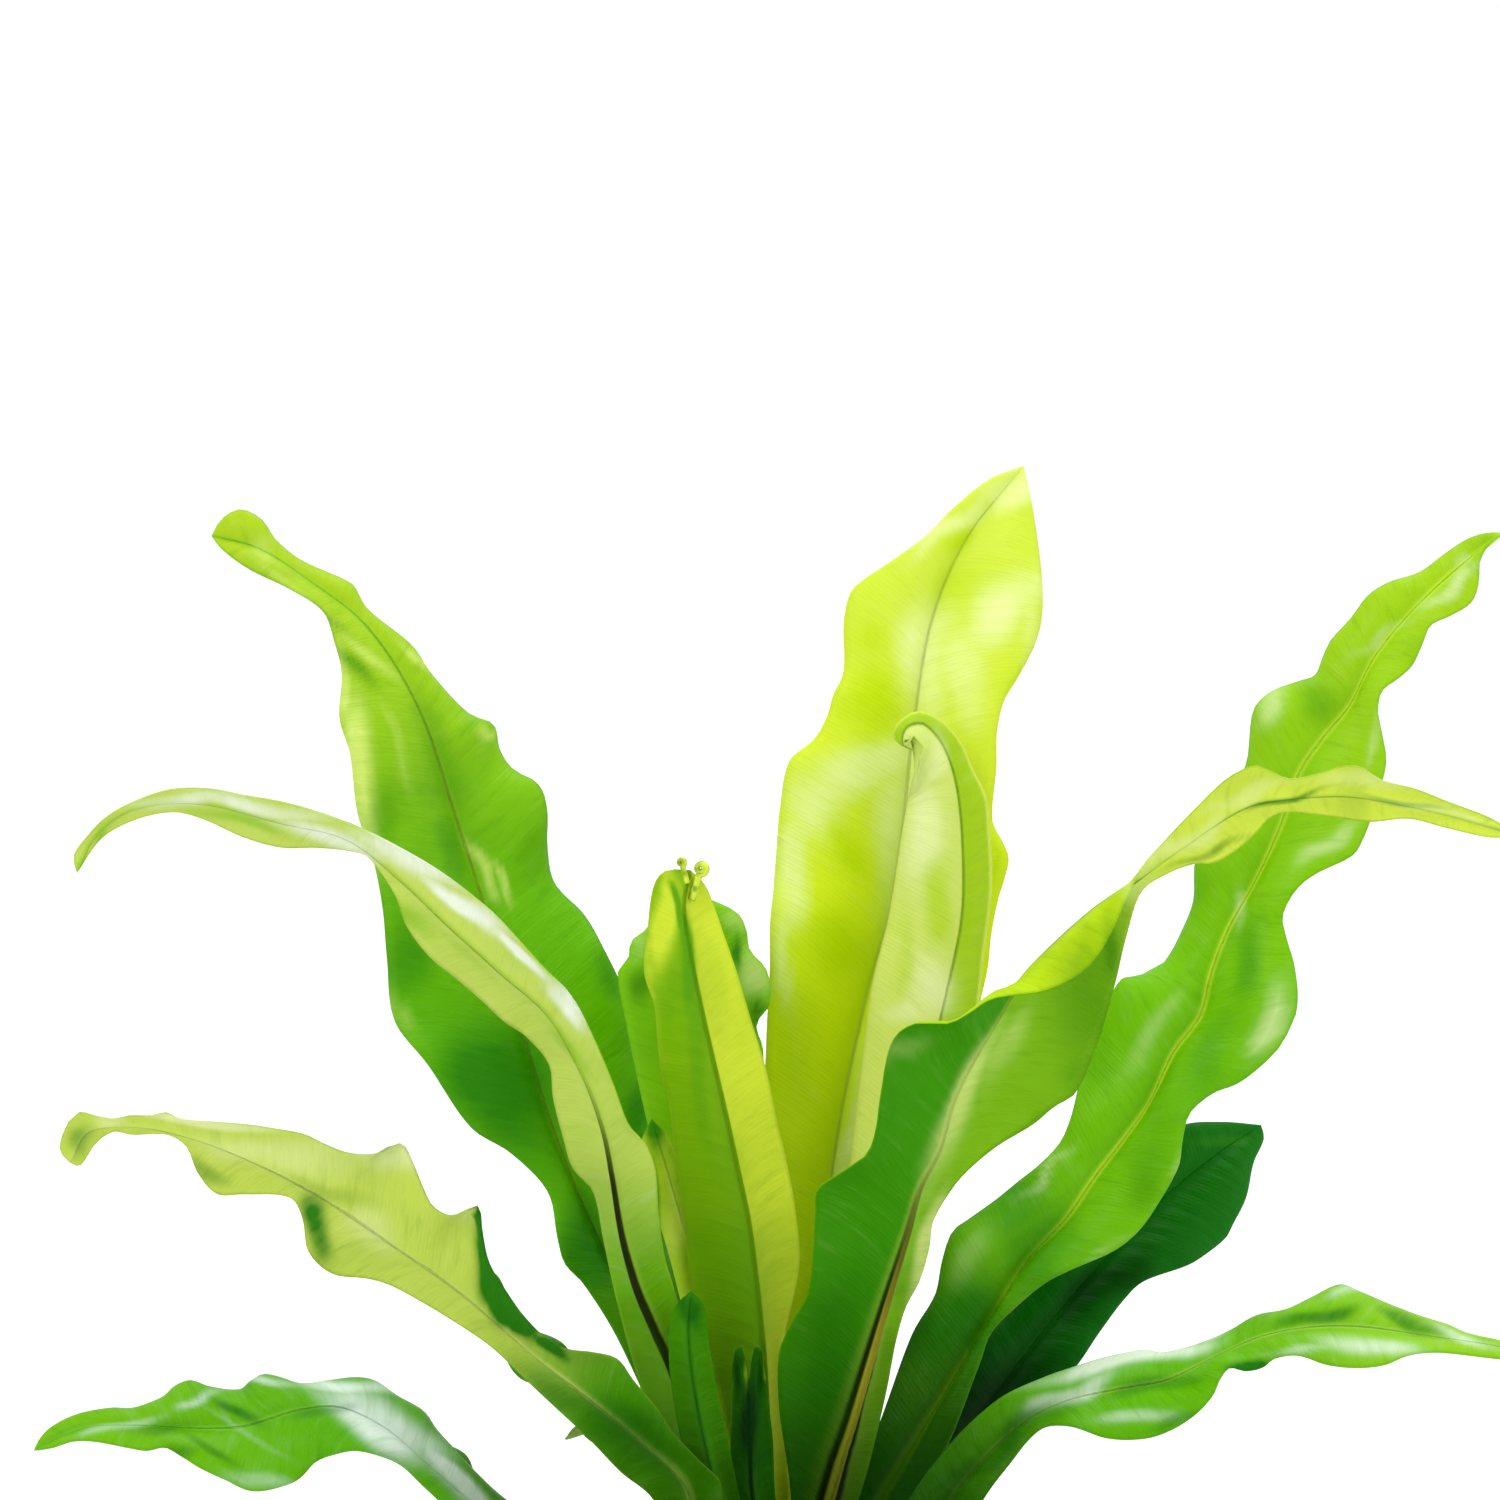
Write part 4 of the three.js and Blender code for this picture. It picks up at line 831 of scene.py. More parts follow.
frond("frond_hooked", frond_skin(
    "hooked_skin", face=((206, 226, 60), (222, 234, 110), (214, 230, 120)),
    underside=((180, 208, 40), (206, 224, 90)), ridge=((206, 222, 90), (150, 190, 30)),
    light=(240, 246, 180), dark=(186, 218, 20), shine=(205, 222, 60), glow=0.26, rib_wide=(0.6, 0.45),
    heart_shade=0.4, half=(1, (190, 216, 30), (166, 204, 30)), hem=(212, 228, 84),
), read_sheet(
    (INNER_RING, 40), ripple=1.2, waves=5,
    rib=[
        [14, 200, 11], [30, 260, 17], [43, 310, 24], [51, 345, 30], [55, 367, 34], [55, 388, 38],
        [53, 407, 41], [49, 419, 42], [43, 426, 41], [38, 425, 39], [37, 420, 37], [40, 418, 36],
    ],
    a=[
        [8, 200, -2], [18, 260, -3], [25, 320, -4], [28, 345, -4], [33, 367, -4], [37, 394, -5],
        [40, 409, -6], [43, 417, -6], [42, 422, -5], [39, 422, -4], [40, 418],
    ],
    b=[
        [20, 200, 2], [42, 260, 4], [57, 310, 5], [61, 345, 5], [62, 356, 5], [64, 375], [63, 396, 5],
        [62, 404], [58, 412, 5], [54, 421], [48, 427, 5], [41, 430], [36, 427, 4], [34, 422, 4], [40, 418],
    ],
), pale=[
    (43, 393, 5.4, 21.1, 0, 0.9), (46, 345, 7.9, 10.3, 0, 0.9), (38, 337, 5.5, 4.3, 0, 0.7),
    (47, 415, 3, 7.8, -8, 0.6),
], deep=[
    (48, 370, 4.8, 12.1, 0, 0.8), (38, 353, 2.4, 12.1, -4, 0.5),
])
folded_sheet = read_sheet(
    (INNER_RING, 265), under=True, ripple=0.8, waves=6,
    rib=[
        [-3, 185, -14], [-5, 228, -19], [-9, 267, -22], [-13, 288, -23], [-17, 307, -23], [-21, 325, -22],
        [-24, 339, -21], [-27, 355, -19], [-29, 370, -16], [-27, 381, -13],
    ],
    a=[
        [-12, 185, 4], [-22, 228, 7], [-27, 250, 9], [-29, 272, 10], [-32, 293, 10], [-34, 310], [-36, 317],
        [-37, 327], [-38, 339, 10], [-41, 349], [-40, 361, 9], [-38, 376, 6], [-34, 381, 3], [-27, 381],
    ],
    b=[
        [3, 185, 4], [1, 228, 8], [6, 256, 10], [5, 273], [2, 290, 11], [-1, 303], [-4, 318], [-9, 335, 11],
        [-13, 349], [-17, 361, 9], [-20, 370, 7], [-23, 377, 3], [-27, 381],
    ],
)
frond("frond_folded", frond_skin(
    "folded_skin", face=((130, 190, 0), (160, 208, 10), (196, 220, 44)),
    underside=((206, 228, 10), (222, 236, 60)), ridge=((122, 176, 0), (124, 176, 0)), light=(222, 236, 60),
    dark=(100, 170, 0), shine=(180, 212, 10), glow=0.22, rib_wide=(0.6, 0.5), heart_shade=0.25,
    half=(1, (112, 178, 0), (134, 188, 0)),
), folded_sheet, pale=[
    (-35, 364, 3.9, 18.1, -4, 1.3), (-34, 373, 2.4, 9.1, 0, 1), (-39, 322, 1.5, 48.7, 3, 0.8),
    (-20, 367, 2.7, 12.1, 15, 1), (-16, 353, 2.1, 21.2, 16, 0.7), (-11, 309, 3, 36.6, 10, 0.4),
], deep=[
    (-31, 370, 1.2, 9.1, 14, 1.3), (-28, 353, 2.1, 15.1, 4, 1.4), (-25, 322, 2.7, 27.4, 6, 0.6),
    (-12, 245, 12.3, 18.5, 0, 0.5), (-34, 342, 3, 9.1, 0, 0.5),
])


# Two tips of the folded frond are still rolled up, as coils that grow from its blade.
TIP_STEPS = 56
TIP_SIDES = 10
TIP_TURNS = 1.5
TIP_NECK = 0.2
TIP_WIND = 0.72
TIP_SINK = 0.4
TIP_TAPER = 0.35
TIP_FLAT = 1.5


def coil(start, middle, radius, thick):
    """Points of a coil on a short neck, wound up towards its middle."""
    path = []
    lean = math.atan2(start[2] - middle[2], start[0] - middle[0])
    for share in np.arange(TIP_STEPS) / (TIP_STEPS - 1):
        wound = max(0, (share - TIP_NECK) / (1 - TIP_NECK))
        angle = lean + FULL_TURN * TIP_TURNS * wound
        reach = radius * (1 - TIP_WIND * wound)
        point = middle + reach * np.array((math.cos(angle), 0, math.sin(angle))) - (0, TIP_SINK * wound, 0)
        path.append(start + (point - start) * min(1, share / TIP_NECK))
    path = np.array(path)
    way = unit(np.gradient(path, axis=0))
    flat = np.array((0, 1, 0)) - way * way[:, 1:2]
    out, up = unit(np.cross(way, flat)), unit(flat)
    girth = thick * (1 - TIP_TAPER * np.arange(TIP_STEPS)[:, None, None] / (TIP_STEPS - 1))
    ring = FULL_TURN * np.arange(TIP_SIDES)[:, None] / TIP_SIDES
    around = out[:, None] * np.cos(ring) + TIP_FLAT * up[:, None] * np.sin(ring)
    return (path[:, None] + girth * around).reshape(-1, 3)


def curl_skin():
    bench = Bench("curl_skin")
    spots = bench.grain(420)
    soft = bench.coats(
        tint(148, 178, 10),
        (bench.fade(spots, 0.4, 0.6), tint(206, 222, 60)),
        (bench.fade(spots, 0.42, 0.3) * 0.6, tint(120, 120, 20)),
    )
    return bench.done(bench.surface(soft, 0.5 + 0.2 * spots, bench.relief(spots, 0.0002)))


s, t, sheet = folded_sheet
points, faces = [], []
for share, across, middle, radius in (
    (0.965, -0.3, (-23.8, 381.5, -14), 2.1), (0.985, 0, (-29.7, 383.4, -14), 1.3),
):
    start = sheet[np.argmin(np.abs(s - share)), np.argmin(np.abs(t - across))]
    faces += tube(len(points), TIP_SIDES, TIP_STEPS - 1)
    points += coil(start, place(middle), radius - 0.2, 0.5 + 0.3 * radius).tolist()
curls = mesh_piece("folded_tips", points, faces, curl_skin())
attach(curls, "root")
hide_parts("frond_folded")

frond("frond_narrow", frond_skin(
    "narrow_skin", face=((120, 188, 0), (176, 216, 20), (190, 222, 40)),
    underside=((120, 180, 10), (180, 214, 40)), ridge=((160, 200, 30), (190, 216, 50)),
    light=(222, 238, 90), dark=(60, 146, 0), shine=(170, 210, 20), heart_shade=0.3,
), read_sheet(
    (MIDDLE_RING, 181), ripple=1, waves=6, rows=90,
    rib=[[-14, 200, -1], [-21, 235, -3], [-27, 260, -5], [-33, 282, -6], [-39, 303, -7]],
    a=[[-19, 200, 1], [-28, 235, 2], [-34, 260, 2], [-40, 282, 2], [-42, 296, 1], [-39, 303]],
    b=[[-9, 200, 1], [-15, 235, 2], [-21, 260, 2], [-27, 282, 2], [-34, 297, 1], [-39, 303]],
), pale=[
    (-32, 269, 2.5, 12.3, 6, 0.8),
], deep=[
    (-38, 277, 1.2, 18.4, 4, 1), (-39, 301, 3.1, 7.9, 10, 1.3),
])
frond("frond_small_back", frond_skin(
    "small_back_skin", face=((60, 140, 0), (136, 204, 0), (128, 200, 10)),
    underside=((90, 150, 30), (120, 180, 60)), ridge=((70, 150, 10), (110, 180, 30)), light=(196, 224, 120),
    dark=(24, 114, 0), shine=(110, 186, 0), heart_shade=0.4,
), read_sheet(
    (INNER_RING, 150), ripple=1.5, waves=6, rows=90,
    rib=[[-9, 200, 13], [-15, 250, 17], [-20, 300, 21], [-24, 340, 25], [-27, 366, 27], [-28, 375, 28]],
    a=[
        [-16, 200, -2], [-28, 250, -2], [-40, 300, -3], [-47, 335, -4], [-49, 350, -4], [-46, 353],
        [-45, 359], [-42, 361], [-36, 368, -2], [-28, 375],
    ],
    b=[
        [-5, 200, 1], [-5, 250, 1], [-5, 300, 0], [-5, 325, -1], [-7, 333, -2], [-3, 339, -4],
        [-4, 350, -4], [-9, 356], [-10, 362], [-13, 368], [-19, 371, -1], [-28, 375],
    ],
), pale=[
    (-8, 348, 3.6, 7.3, 20, 1), (-14, 365, 2.4, 4.2, 30, 0.5), (-42, 358, 2.4, 4.2, 0, 0.5),
], deep=[
    (-13, 355, 1.5, 5.5, 0, 0.9), (-7, 336, 2.7, 6.7, 0, 0.8), (-42, 345, 3.6, 7.3, 0, 0.6),
])

# Fronds to the left
# Leaves that lean out to the left. The older ones are deep glossy green, the two in the middle have turned
# over and show the paler underside, which is matte, with the rib standing out from it, brown near the crown.
frond("frond_upper_left", frond_skin(
    "upper_left_skin", face=((50, 134, 0), (102, 184, 0), (172, 206, 30)),
    underside=((90, 150, 20), (150, 190, 80)), ridge=((90, 170, 0), (140, 192, 30)), light=(208, 230, 110),
    dark=(44, 134, 0), shine=(90, 176, 0), gloss=0.3,
), read_sheet(
    (MIDDLE_RING, 147), waves=7,
    rib=[
        [-18, 170, 14], [-30, 200, 21], [-45, 240, 29], [-61, 277, 36], [-72, 308, 43], [-84, 352, 52],
        [-97, 395, 61], [-108, 430, 69], [-123, 455, 77], [-140, 469, 82], [-155, 479, 87], [-169, 483, 92],
    ],
    a=[
        [-25, 170, -3], [-38, 205, -7], [-50, 233, -10], [-60, 250], [-66, 257, -11], [-68, 265],
        [-71, 280, -12], [-82, 292], [-94, 300, -13], [-107, 320, -14], [-117, 334], [-119, 354, -15],
        [-120, 369], [-123, 386], [-127, 398], [-129, 417, -13], [-132, 428], [-131, 441], [-133, 451, -9],
        [-136, 460], [-146, 467, -7], [-158, 473, -6], [-166, 479, -3], [-169, 483],
    ],
    b=[
        [-12, 170, 2], [-20, 205, 5], [-30, 240, 7], [-37, 280, 8], [-39, 317, 8], [-42, 331], [-46, 341],
        [-52, 354, 8], [-59, 367], [-68, 377, 8], [-70, 388], [-70, 400, 8], [-73, 408], [-80, 412],
        [-84, 418], [-86, 426], [-93, 429, 8], [-104, 441], [-110, 450, 7], [-123, 461], [-127, 468],
        [-130, 470], [-143, 476, 6], [-150, 482], [-154, 488], [-160, 491, 4], [-166, 488, 2], [-169, 483],
    ],
), pale=[
    (-126, 410, 3.9, 25.5, 5, 1.1), (-131, 436, 2.4, 12, 4, 0.9), (-122, 447, 11.9, 2.1, -38, 0.6),
    (-143, 467, 17.9, 1.8, -35, 0.35), (-154, 479, 3.6, 4.2, 0, 0.4), (-116, 337, 2.4, 9.1, 20, 0.4),
    (-90, 382, 1.8, 10.3, 28, 0.8), (-84, 378, 1.2, 7.2, 24, 0.8), (-88, 423, 3, 1.8, -30, 0.6),
    (-108, 446, 5.4, 1.8, -40, 0.7), (-115, 420, 1.5, 15, 18, 0.25), (-42, 328, 2.4, 9.1, 20, 0.4),
], deep=[
    (-85, 312, 18.3, 27.4, 25, 1.1), (-113, 356, 7.9, 15.1, 5, 0.7), (-99, 387, 4.2, 10.2, 10, 0.5),
    (-58, 261, 8, 15.3, 20, 1), (-51, 348, 4.2, 7.9, 20, 0.6), (-43, 303, 4.3, 11, 0, 0.9),
    (-128, 444, 9, 3, -40, 0.7), (-120, 393, 4.8, 15.1, 0, 0.4), (-102, 415, 6, 18, 20, 0.3),
    (-134, 458, 8.9, 1.8, -38, 0.4),
])
frond("frond_arching_left", frond_skin(
    "arching_left_skin", face=((80, 160, 0), (120, 186, 10), (170, 205, 50)),
    underside=((104, 176, 0), (202, 220, 100)), ridge=((24, 8, 2), (172, 204, 70)), light=(248, 250, 240),
    dark=(126, 188, 0), shine=(180, 210, 50), glow=0.22, turn=(0.34, 0.5), rib_turn=(0.44, 0.56),
    rib_wide=(2.9, 0.75),
), read_sheet(
    (MIDDLE_RING, 215), under=True, ripple=1.5, waves=8,
    rib=[
        [-19, 175, -22], [-26, 195, -27], [-33, 221, -33], [-39, 236, -37], [-44, 249, -41],
        [-48, 265, -45], [-51, 285, -50], [-54, 301, -54], [-60, 318, -58], [-70, 336, -62],
        [-84, 349, -66], [-100, 364, -70], [-114, 378, -73], [-130, 391, -76], [-150, 396, -79],
        [-175, 402, -82], [-195, 400, -84], [-207, 391, -85], [-212, 380, -85],
    ],
    a=[
        [-27, 175, 4], [-36, 195, 7], [-44, 221, 10], [-50, 245, 12], [-54, 265, 13], [-57, 280, 13],
        [-63, 287], [-66, 297, 13], [-69, 310, 13], [-70, 320], [-77, 329, 13], [-84, 334], [-90, 340],
        [-99, 348, 13], [-106, 354], [-113, 364, 12], [-116, 373], [-124, 385, 10], [-130, 387],
        [-140, 388, 9], [-150, 388], [-161, 391, 7], [-174, 397], [-182, 399, 5], [-193, 397],
        [-203, 392, 3], [-209, 385, 1], [-212, 380],
    ],
    b=[
        [-13, 175, -1], [-17, 195, -2], [-24, 221, -3], [-30, 240, -3], [-33, 251], [-35, 258],
        [-37, 272, -4], [-38, 287], [-41, 295], [-46, 301, -5], [-51, 315, -6], [-60, 336, -9], [-65, 344],
        [-70, 349, -11], [-77, 357], [-87, 368, -12], [-99, 378], [-108, 384, -12], [-121, 391],
        [-130, 395, -10], [-140, 399], [-150, 402, -8], [-161, 404], [-171, 406, -6], [-182, 406],
        [-192, 403, -4], [-203, 397, -3], [-209, 391, -2], [-213, 385, -1], [-212, 380],
    ],
), pale=[
    (-112, 384, 15.1, 2.4, -32, 0.9), (-94, 370, 13.9, 2.1, -38, 1.2), (-79, 355, 12.1, 2.1, -46, 1.3),
    (-64, 339, 9.1, 1.8, -52, 1), (-135, 391, 18.1, 3, -16, 0.9), (-159, 401, 18, 2.1, -12, 0.7),
    (-177, 403, 15, 2.1, 4, 0.6),
], deep=[
    (-113, 368, 12.1, 2.7, -38, 0.7), (-62, 325, 10.9, 1.8, -52, 0.45), (-45, 305, 6.1, 2.7, -56, 0.6),
    (-206, 387, 9, 2.4, 60, 0.8), (-43, 229, 4.3, 21.6, 20, 0.5), (-162, 396, 15, 1.8, -16, 0.6),
    (-72, 296, 1.5, 15.3, 18, 0.3), (-94, 356, 12.1, 1.8, -42, 0.3),
])
frond("frond_mid_left", frond_skin(
    "mid_left_skin", face=((60, 140, 0), (60, 140, 0), (110, 180, 10)),
    underside=((84, 168, 0), (196, 216, 86)), ridge=((100, 176, 0), (196, 216, 100)), light=(226, 234, 164),
    dark=(36, 120, 4), shine=(150, 196, 40), turn=(0.38, 0.56), heart_shade=0.5,
), read_sheet(
    (OUTER_RING, 219), under=True, ripple=1.5, waves=7,
    rib=[
        [-28, 183, -42], [-43, 200, -50], [-58, 213, -57], [-77, 229, -63], [-97, 247, -69],
        [-120, 264, -75], [-143, 280, -80], [-164, 291, -83], [-182, 298, -86], [-198, 301, -88],
        [-211, 299, -89], [-217, 289, -89],
    ],
    a=[
        [-38, 178, 2], [-50, 190, 3], [-59, 200], [-71, 212, 4], [-78, 219], [-89, 230, 5], [-100, 238],
        [-111, 245, 6], [-120, 250], [-127, 252, 7], [-136, 253], [-141, 256, 8], [-145, 262],
        [-146, 271, 7], [-150, 278], [-164, 279, 6], [-172, 279, 5], [-178, 286], [-181, 294, 3],
        [-187, 298], [-198, 298, 2], [-203, 299], [-209, 295, 2], [-214, 288, 1], [-217, 289],
    ],
    b=[
        [-18, 185, -3], [-25, 193, -3], [-33, 202, -4], [-38, 210, -4], [-45, 219], [-50, 226, -4],
        [-57, 228], [-65, 229, -3], [-70, 231], [-78, 239, -2], [-84, 248], [-89, 257, -3], [-91, 267],
        [-92, 275, -5], [-96, 274], [-100, 272, -5], [-106, 275], [-109, 281], [-112, 289, -6], [-115, 295],
        [-118, 295], [-123, 292], [-131, 292, -5], [-139, 295], [-145, 298], [-155, 300, -5], [-161, 301],
        [-172, 302, -4], [-183, 303], [-187, 305, -3], [-192, 304], [-198, 304, -2], [-204, 303],
        [-209, 304, -2], [-214, 305], [-217, 302], [-220, 293, -1], [-217, 289],
    ],
), pale=[
    (-116, 293, 12.2, 6.1, -10, 0.8), (-95, 280, 6.1, 9.2, 10, 0.5), (-147, 290, 15.3, 6.1, -8, 0.5),
    (-126, 268, 9.2, 6.1, -20, 0.5), (-177, 302, 18.3, 1.5, -8, 1.2), (-192, 305, 4.3, 1.5, 0, 0.9),
    (-204, 303, 4.3, 2.4, 0, 0.6), (-162, 293, 12.2, 3.7, -10, 0.5),
], deep=[
    (-91, 269, 1.8, 9.2, 4, 1.7), (-89, 255, 4, 11.1, 10, 1.9), (-85, 244, 5.5, 7.4, 35, 1.9),
    (-79, 237, 6.8, 4.3, -30, 1.9), (-71, 230, 6.8, 2.5, -30, 1.7), (-95, 293, 1.2, 3.1, 0, 0.6),
    (-142, 269, 4.3, 10.4, 10, 1), (-176, 286, 9.2, 3.1, -26, 0.5), (-121, 294, 3.7, 2.4, -20, 0.5),
    (-214, 296, 3.7, 4.9, -30, 0.6), (-49, 203, 18.6, 6.2, -42, 0.7), (-68, 214, 12.4, 2.5, -42, 0.6),
    (-138, 280, 12.2, 2.4, -20, 0.3),
])
frond("frond_low_left", frond_skin(
    "low_left_skin", face=((64, 144, 30), (86, 166, 0), (112, 182, 0)),
    underside=((100, 150, 60), (150, 190, 80)), ridge=((60, 120, 50), (110, 186, 40)),
    light=(220, 236, 222), dark=(24, 108, 0), shine=(90, 170, 0), gloss=0.28,
), read_sheet(
    (OUTER_RING, 196), waves=6,
    rib=[
        [-55, 148, -5], [-76, 163, -8], [-97, 180, -10], [-111, 193, -12], [-122, 203, -13],
        [-136, 210, -14], [-149, 209, -15], [-165, 204, -16], [-180, 203, -17], [-200, 204, -18],
        [-215, 203, -19], [-231, 196, -20],
    ],
    a=[
        [-60, 141, -6], [-83, 158, -9], [-103, 177, -12], [-111, 185], [-117, 191], [-123, 194, -13],
        [-131, 196], [-137, 195], [-144, 192, -14], [-150, 186], [-159, 183, -15], [-165, 183], [-171, 186],
        [-179, 190, -14], [-185, 194], [-190, 197], [-196, 196, -10], [-202, 197], [-212, 199, -7],
        [-219, 199], [-225, 197, -3], [-231, 196],
    ],
    b=[
        [-50, 154, 5], [-68, 167, 8], [-86, 181, 10], [-94, 189], [-100, 196, 11], [-106, 203],
        [-110, 209, 12], [-118, 214], [-125, 219, 13], [-131, 220], [-139, 219], [-148, 218, 13],
        [-154, 220], [-159, 221], [-163, 219, 13], [-167, 216], [-176, 217], [-182, 219, 12], [-187, 217],
        [-190, 214], [-194, 212, 9], [-200, 210], [-207, 210, 7], [-217, 208], [-225, 204, 3], [-229, 200],
        [-231, 196],
    ],
), pale=[
    (-122, 204, 18.6, 5, -36, 1), (-134, 217, 15.4, 2.2, -4, 0.9), (-102, 186, 18.6, 4, -46, 1.2),
    (-179, 213, 6.2, 1.5, 24, 0.6), (-159, 219, 8, 1.2, -10, 0.6), (-160, 186, 11.2, 2.2, -10, 0.3),
    (-204, 204, 13.6, 1.2, 12, 0.35), (-164, 202, 15.5, 1.2, -30, 0.15),
], deep=[
    (-108, 213, 21.6, 2.8, -38, 1.2), (-94, 198, 18.6, 2.5, -50, 1.2), (-168, 209, 10.5, 2.2, -24, 0.8),
    (-192, 203, 9.3, 2.2, 0, 0.6), (-186, 196, 6.8, 2.5, 0, 0.6), (-175, 196, 10.5, 1.9, -30, 0.6),
    (-142, 209, 10.5, 1.9, 10, 0.5),
])

# Fronds to the right
# Leaves that lean out to the right, from a nearly upright one whose margin has folded over to a low
# arching one.
frond("frond_arching_right", frond_skin(
    "arching_right_skin", face=((60, 150, 0), (186, 220, 0), (186, 220, 10)),
    underside=((62, 148, 0), (214, 232, 74)), ridge=((22, 10, 0), (176, 206, 70)), light=(226, 238, 140),
    dark=(40, 128, 0), shine=(120, 186, 0), turn=(0.66, 0.76), rib_turn=(0.34, 0.52), rib_wide=(4.4, 0.5),
    half=(-1, (130, 190, 14), (214, 232, 74)), core=(232, 214, 60),
), read_sheet(
    (MIDDLE_RING, 318), under=True, ripple=1.2, waves=8,
    rib=[
        [13, 165, -19], [18, 188, -24], [23, 205, -28], [28, 224, -32], [34, 247, -37], [39, 265, -41],
        [43, 281, -45], [49, 294, -48], [53, 309, -51], [58, 320, -54], [65, 333, -57], [73, 347, -60],
        [84, 359, -63], [95, 369, -66], [106, 377, -68], [118, 386, -71], [132, 396, -74], [141, 401, -76],
        [150, 403, -78], [160, 404, -80], [172, 404, -82], [190, 401, -85], [206, 397, -87],
        [222, 392, -89],
    ],
    a=[
        [5, 165, -1], [3, 188, -2], [0, 210, -3], [0, 228, -4], [4, 238], [9, 248, -4], [11, 273, -4],
        [12, 281], [19, 286], [26, 291, -5], [29, 298], [31, 312, -6], [34, 327, -8], [41, 333, -12],
        [51, 333, -15], [57, 336, -16], [65, 341, -16], [79, 343, -15], [90, 348, -13], [96, 354, -11],
        [101, 363, -8], [105, 373, -4], [110, 383, -3], [115, 389, -4], [125, 400, -6], [134, 409, -7],
        [139, 412], [144, 413, -7], [150, 410], [154, 409, -7], [163, 411], [169, 413, -7], [174, 413],
        [180, 409, -6], [191, 406, -5], [201, 402, -4], [214, 397, -1], [222, 392],
    ],
    b=[
        [20, 165, 3], [27, 188, 5], [33, 215, 6], [36, 232, 7], [39, 243], [43, 251, 8], [46, 262],
        [47, 270, 8], [53, 281], [58, 287, 9], [66, 294], [77, 301, 11], [84, 307], [90, 311, 13],
        [95, 322, 13], [99, 335, 12], [102, 347, 10], [105, 361, 7], [109, 374, 3], [117, 380, 3],
        [125, 383, 4], [130, 383], [136, 386, 5], [143, 392], [147, 397, 5], [152, 399], [163, 398, 5],
        [178, 396], [189, 397, 4], [201, 394, 2], [215, 391, 1], [222, 392],
    ],
), pale=[
    (56, 307, 3.7, 24.4, -22, 0.7), (69, 325, 3.6, 13.4, -30, 0.3), (45, 261, 2.5, 18.4, -14, 0.9),
    (31, 325, 15.2, 3, 8, 0.2), (121, 389, 18.1, 2.7, 36, 0.8), (177, 409, 12, 2.7, -4, 0.8),
    (141, 404, 12, 2.4, 24, 0.8), (199, 399, 15, 1.2, -14, 0.7), (109, 375, 6, 3, 40, 0.5),
], deep=[
    (93, 339, 12.1, 17, 30, 0.4), (19, 232, 9.2, 33.9, -12, 0.6), (100, 356, 2.4, 12.1, 0, 0.5),
    (95, 317, 12.2, 6.1, 30, 0.4), (153, 403, 12, 0.9, 16, 0.8), (131, 387, 12.1, 1.2, 22, 0.6),
    (186, 402, 12, 0.9, -10, 0.5),
])
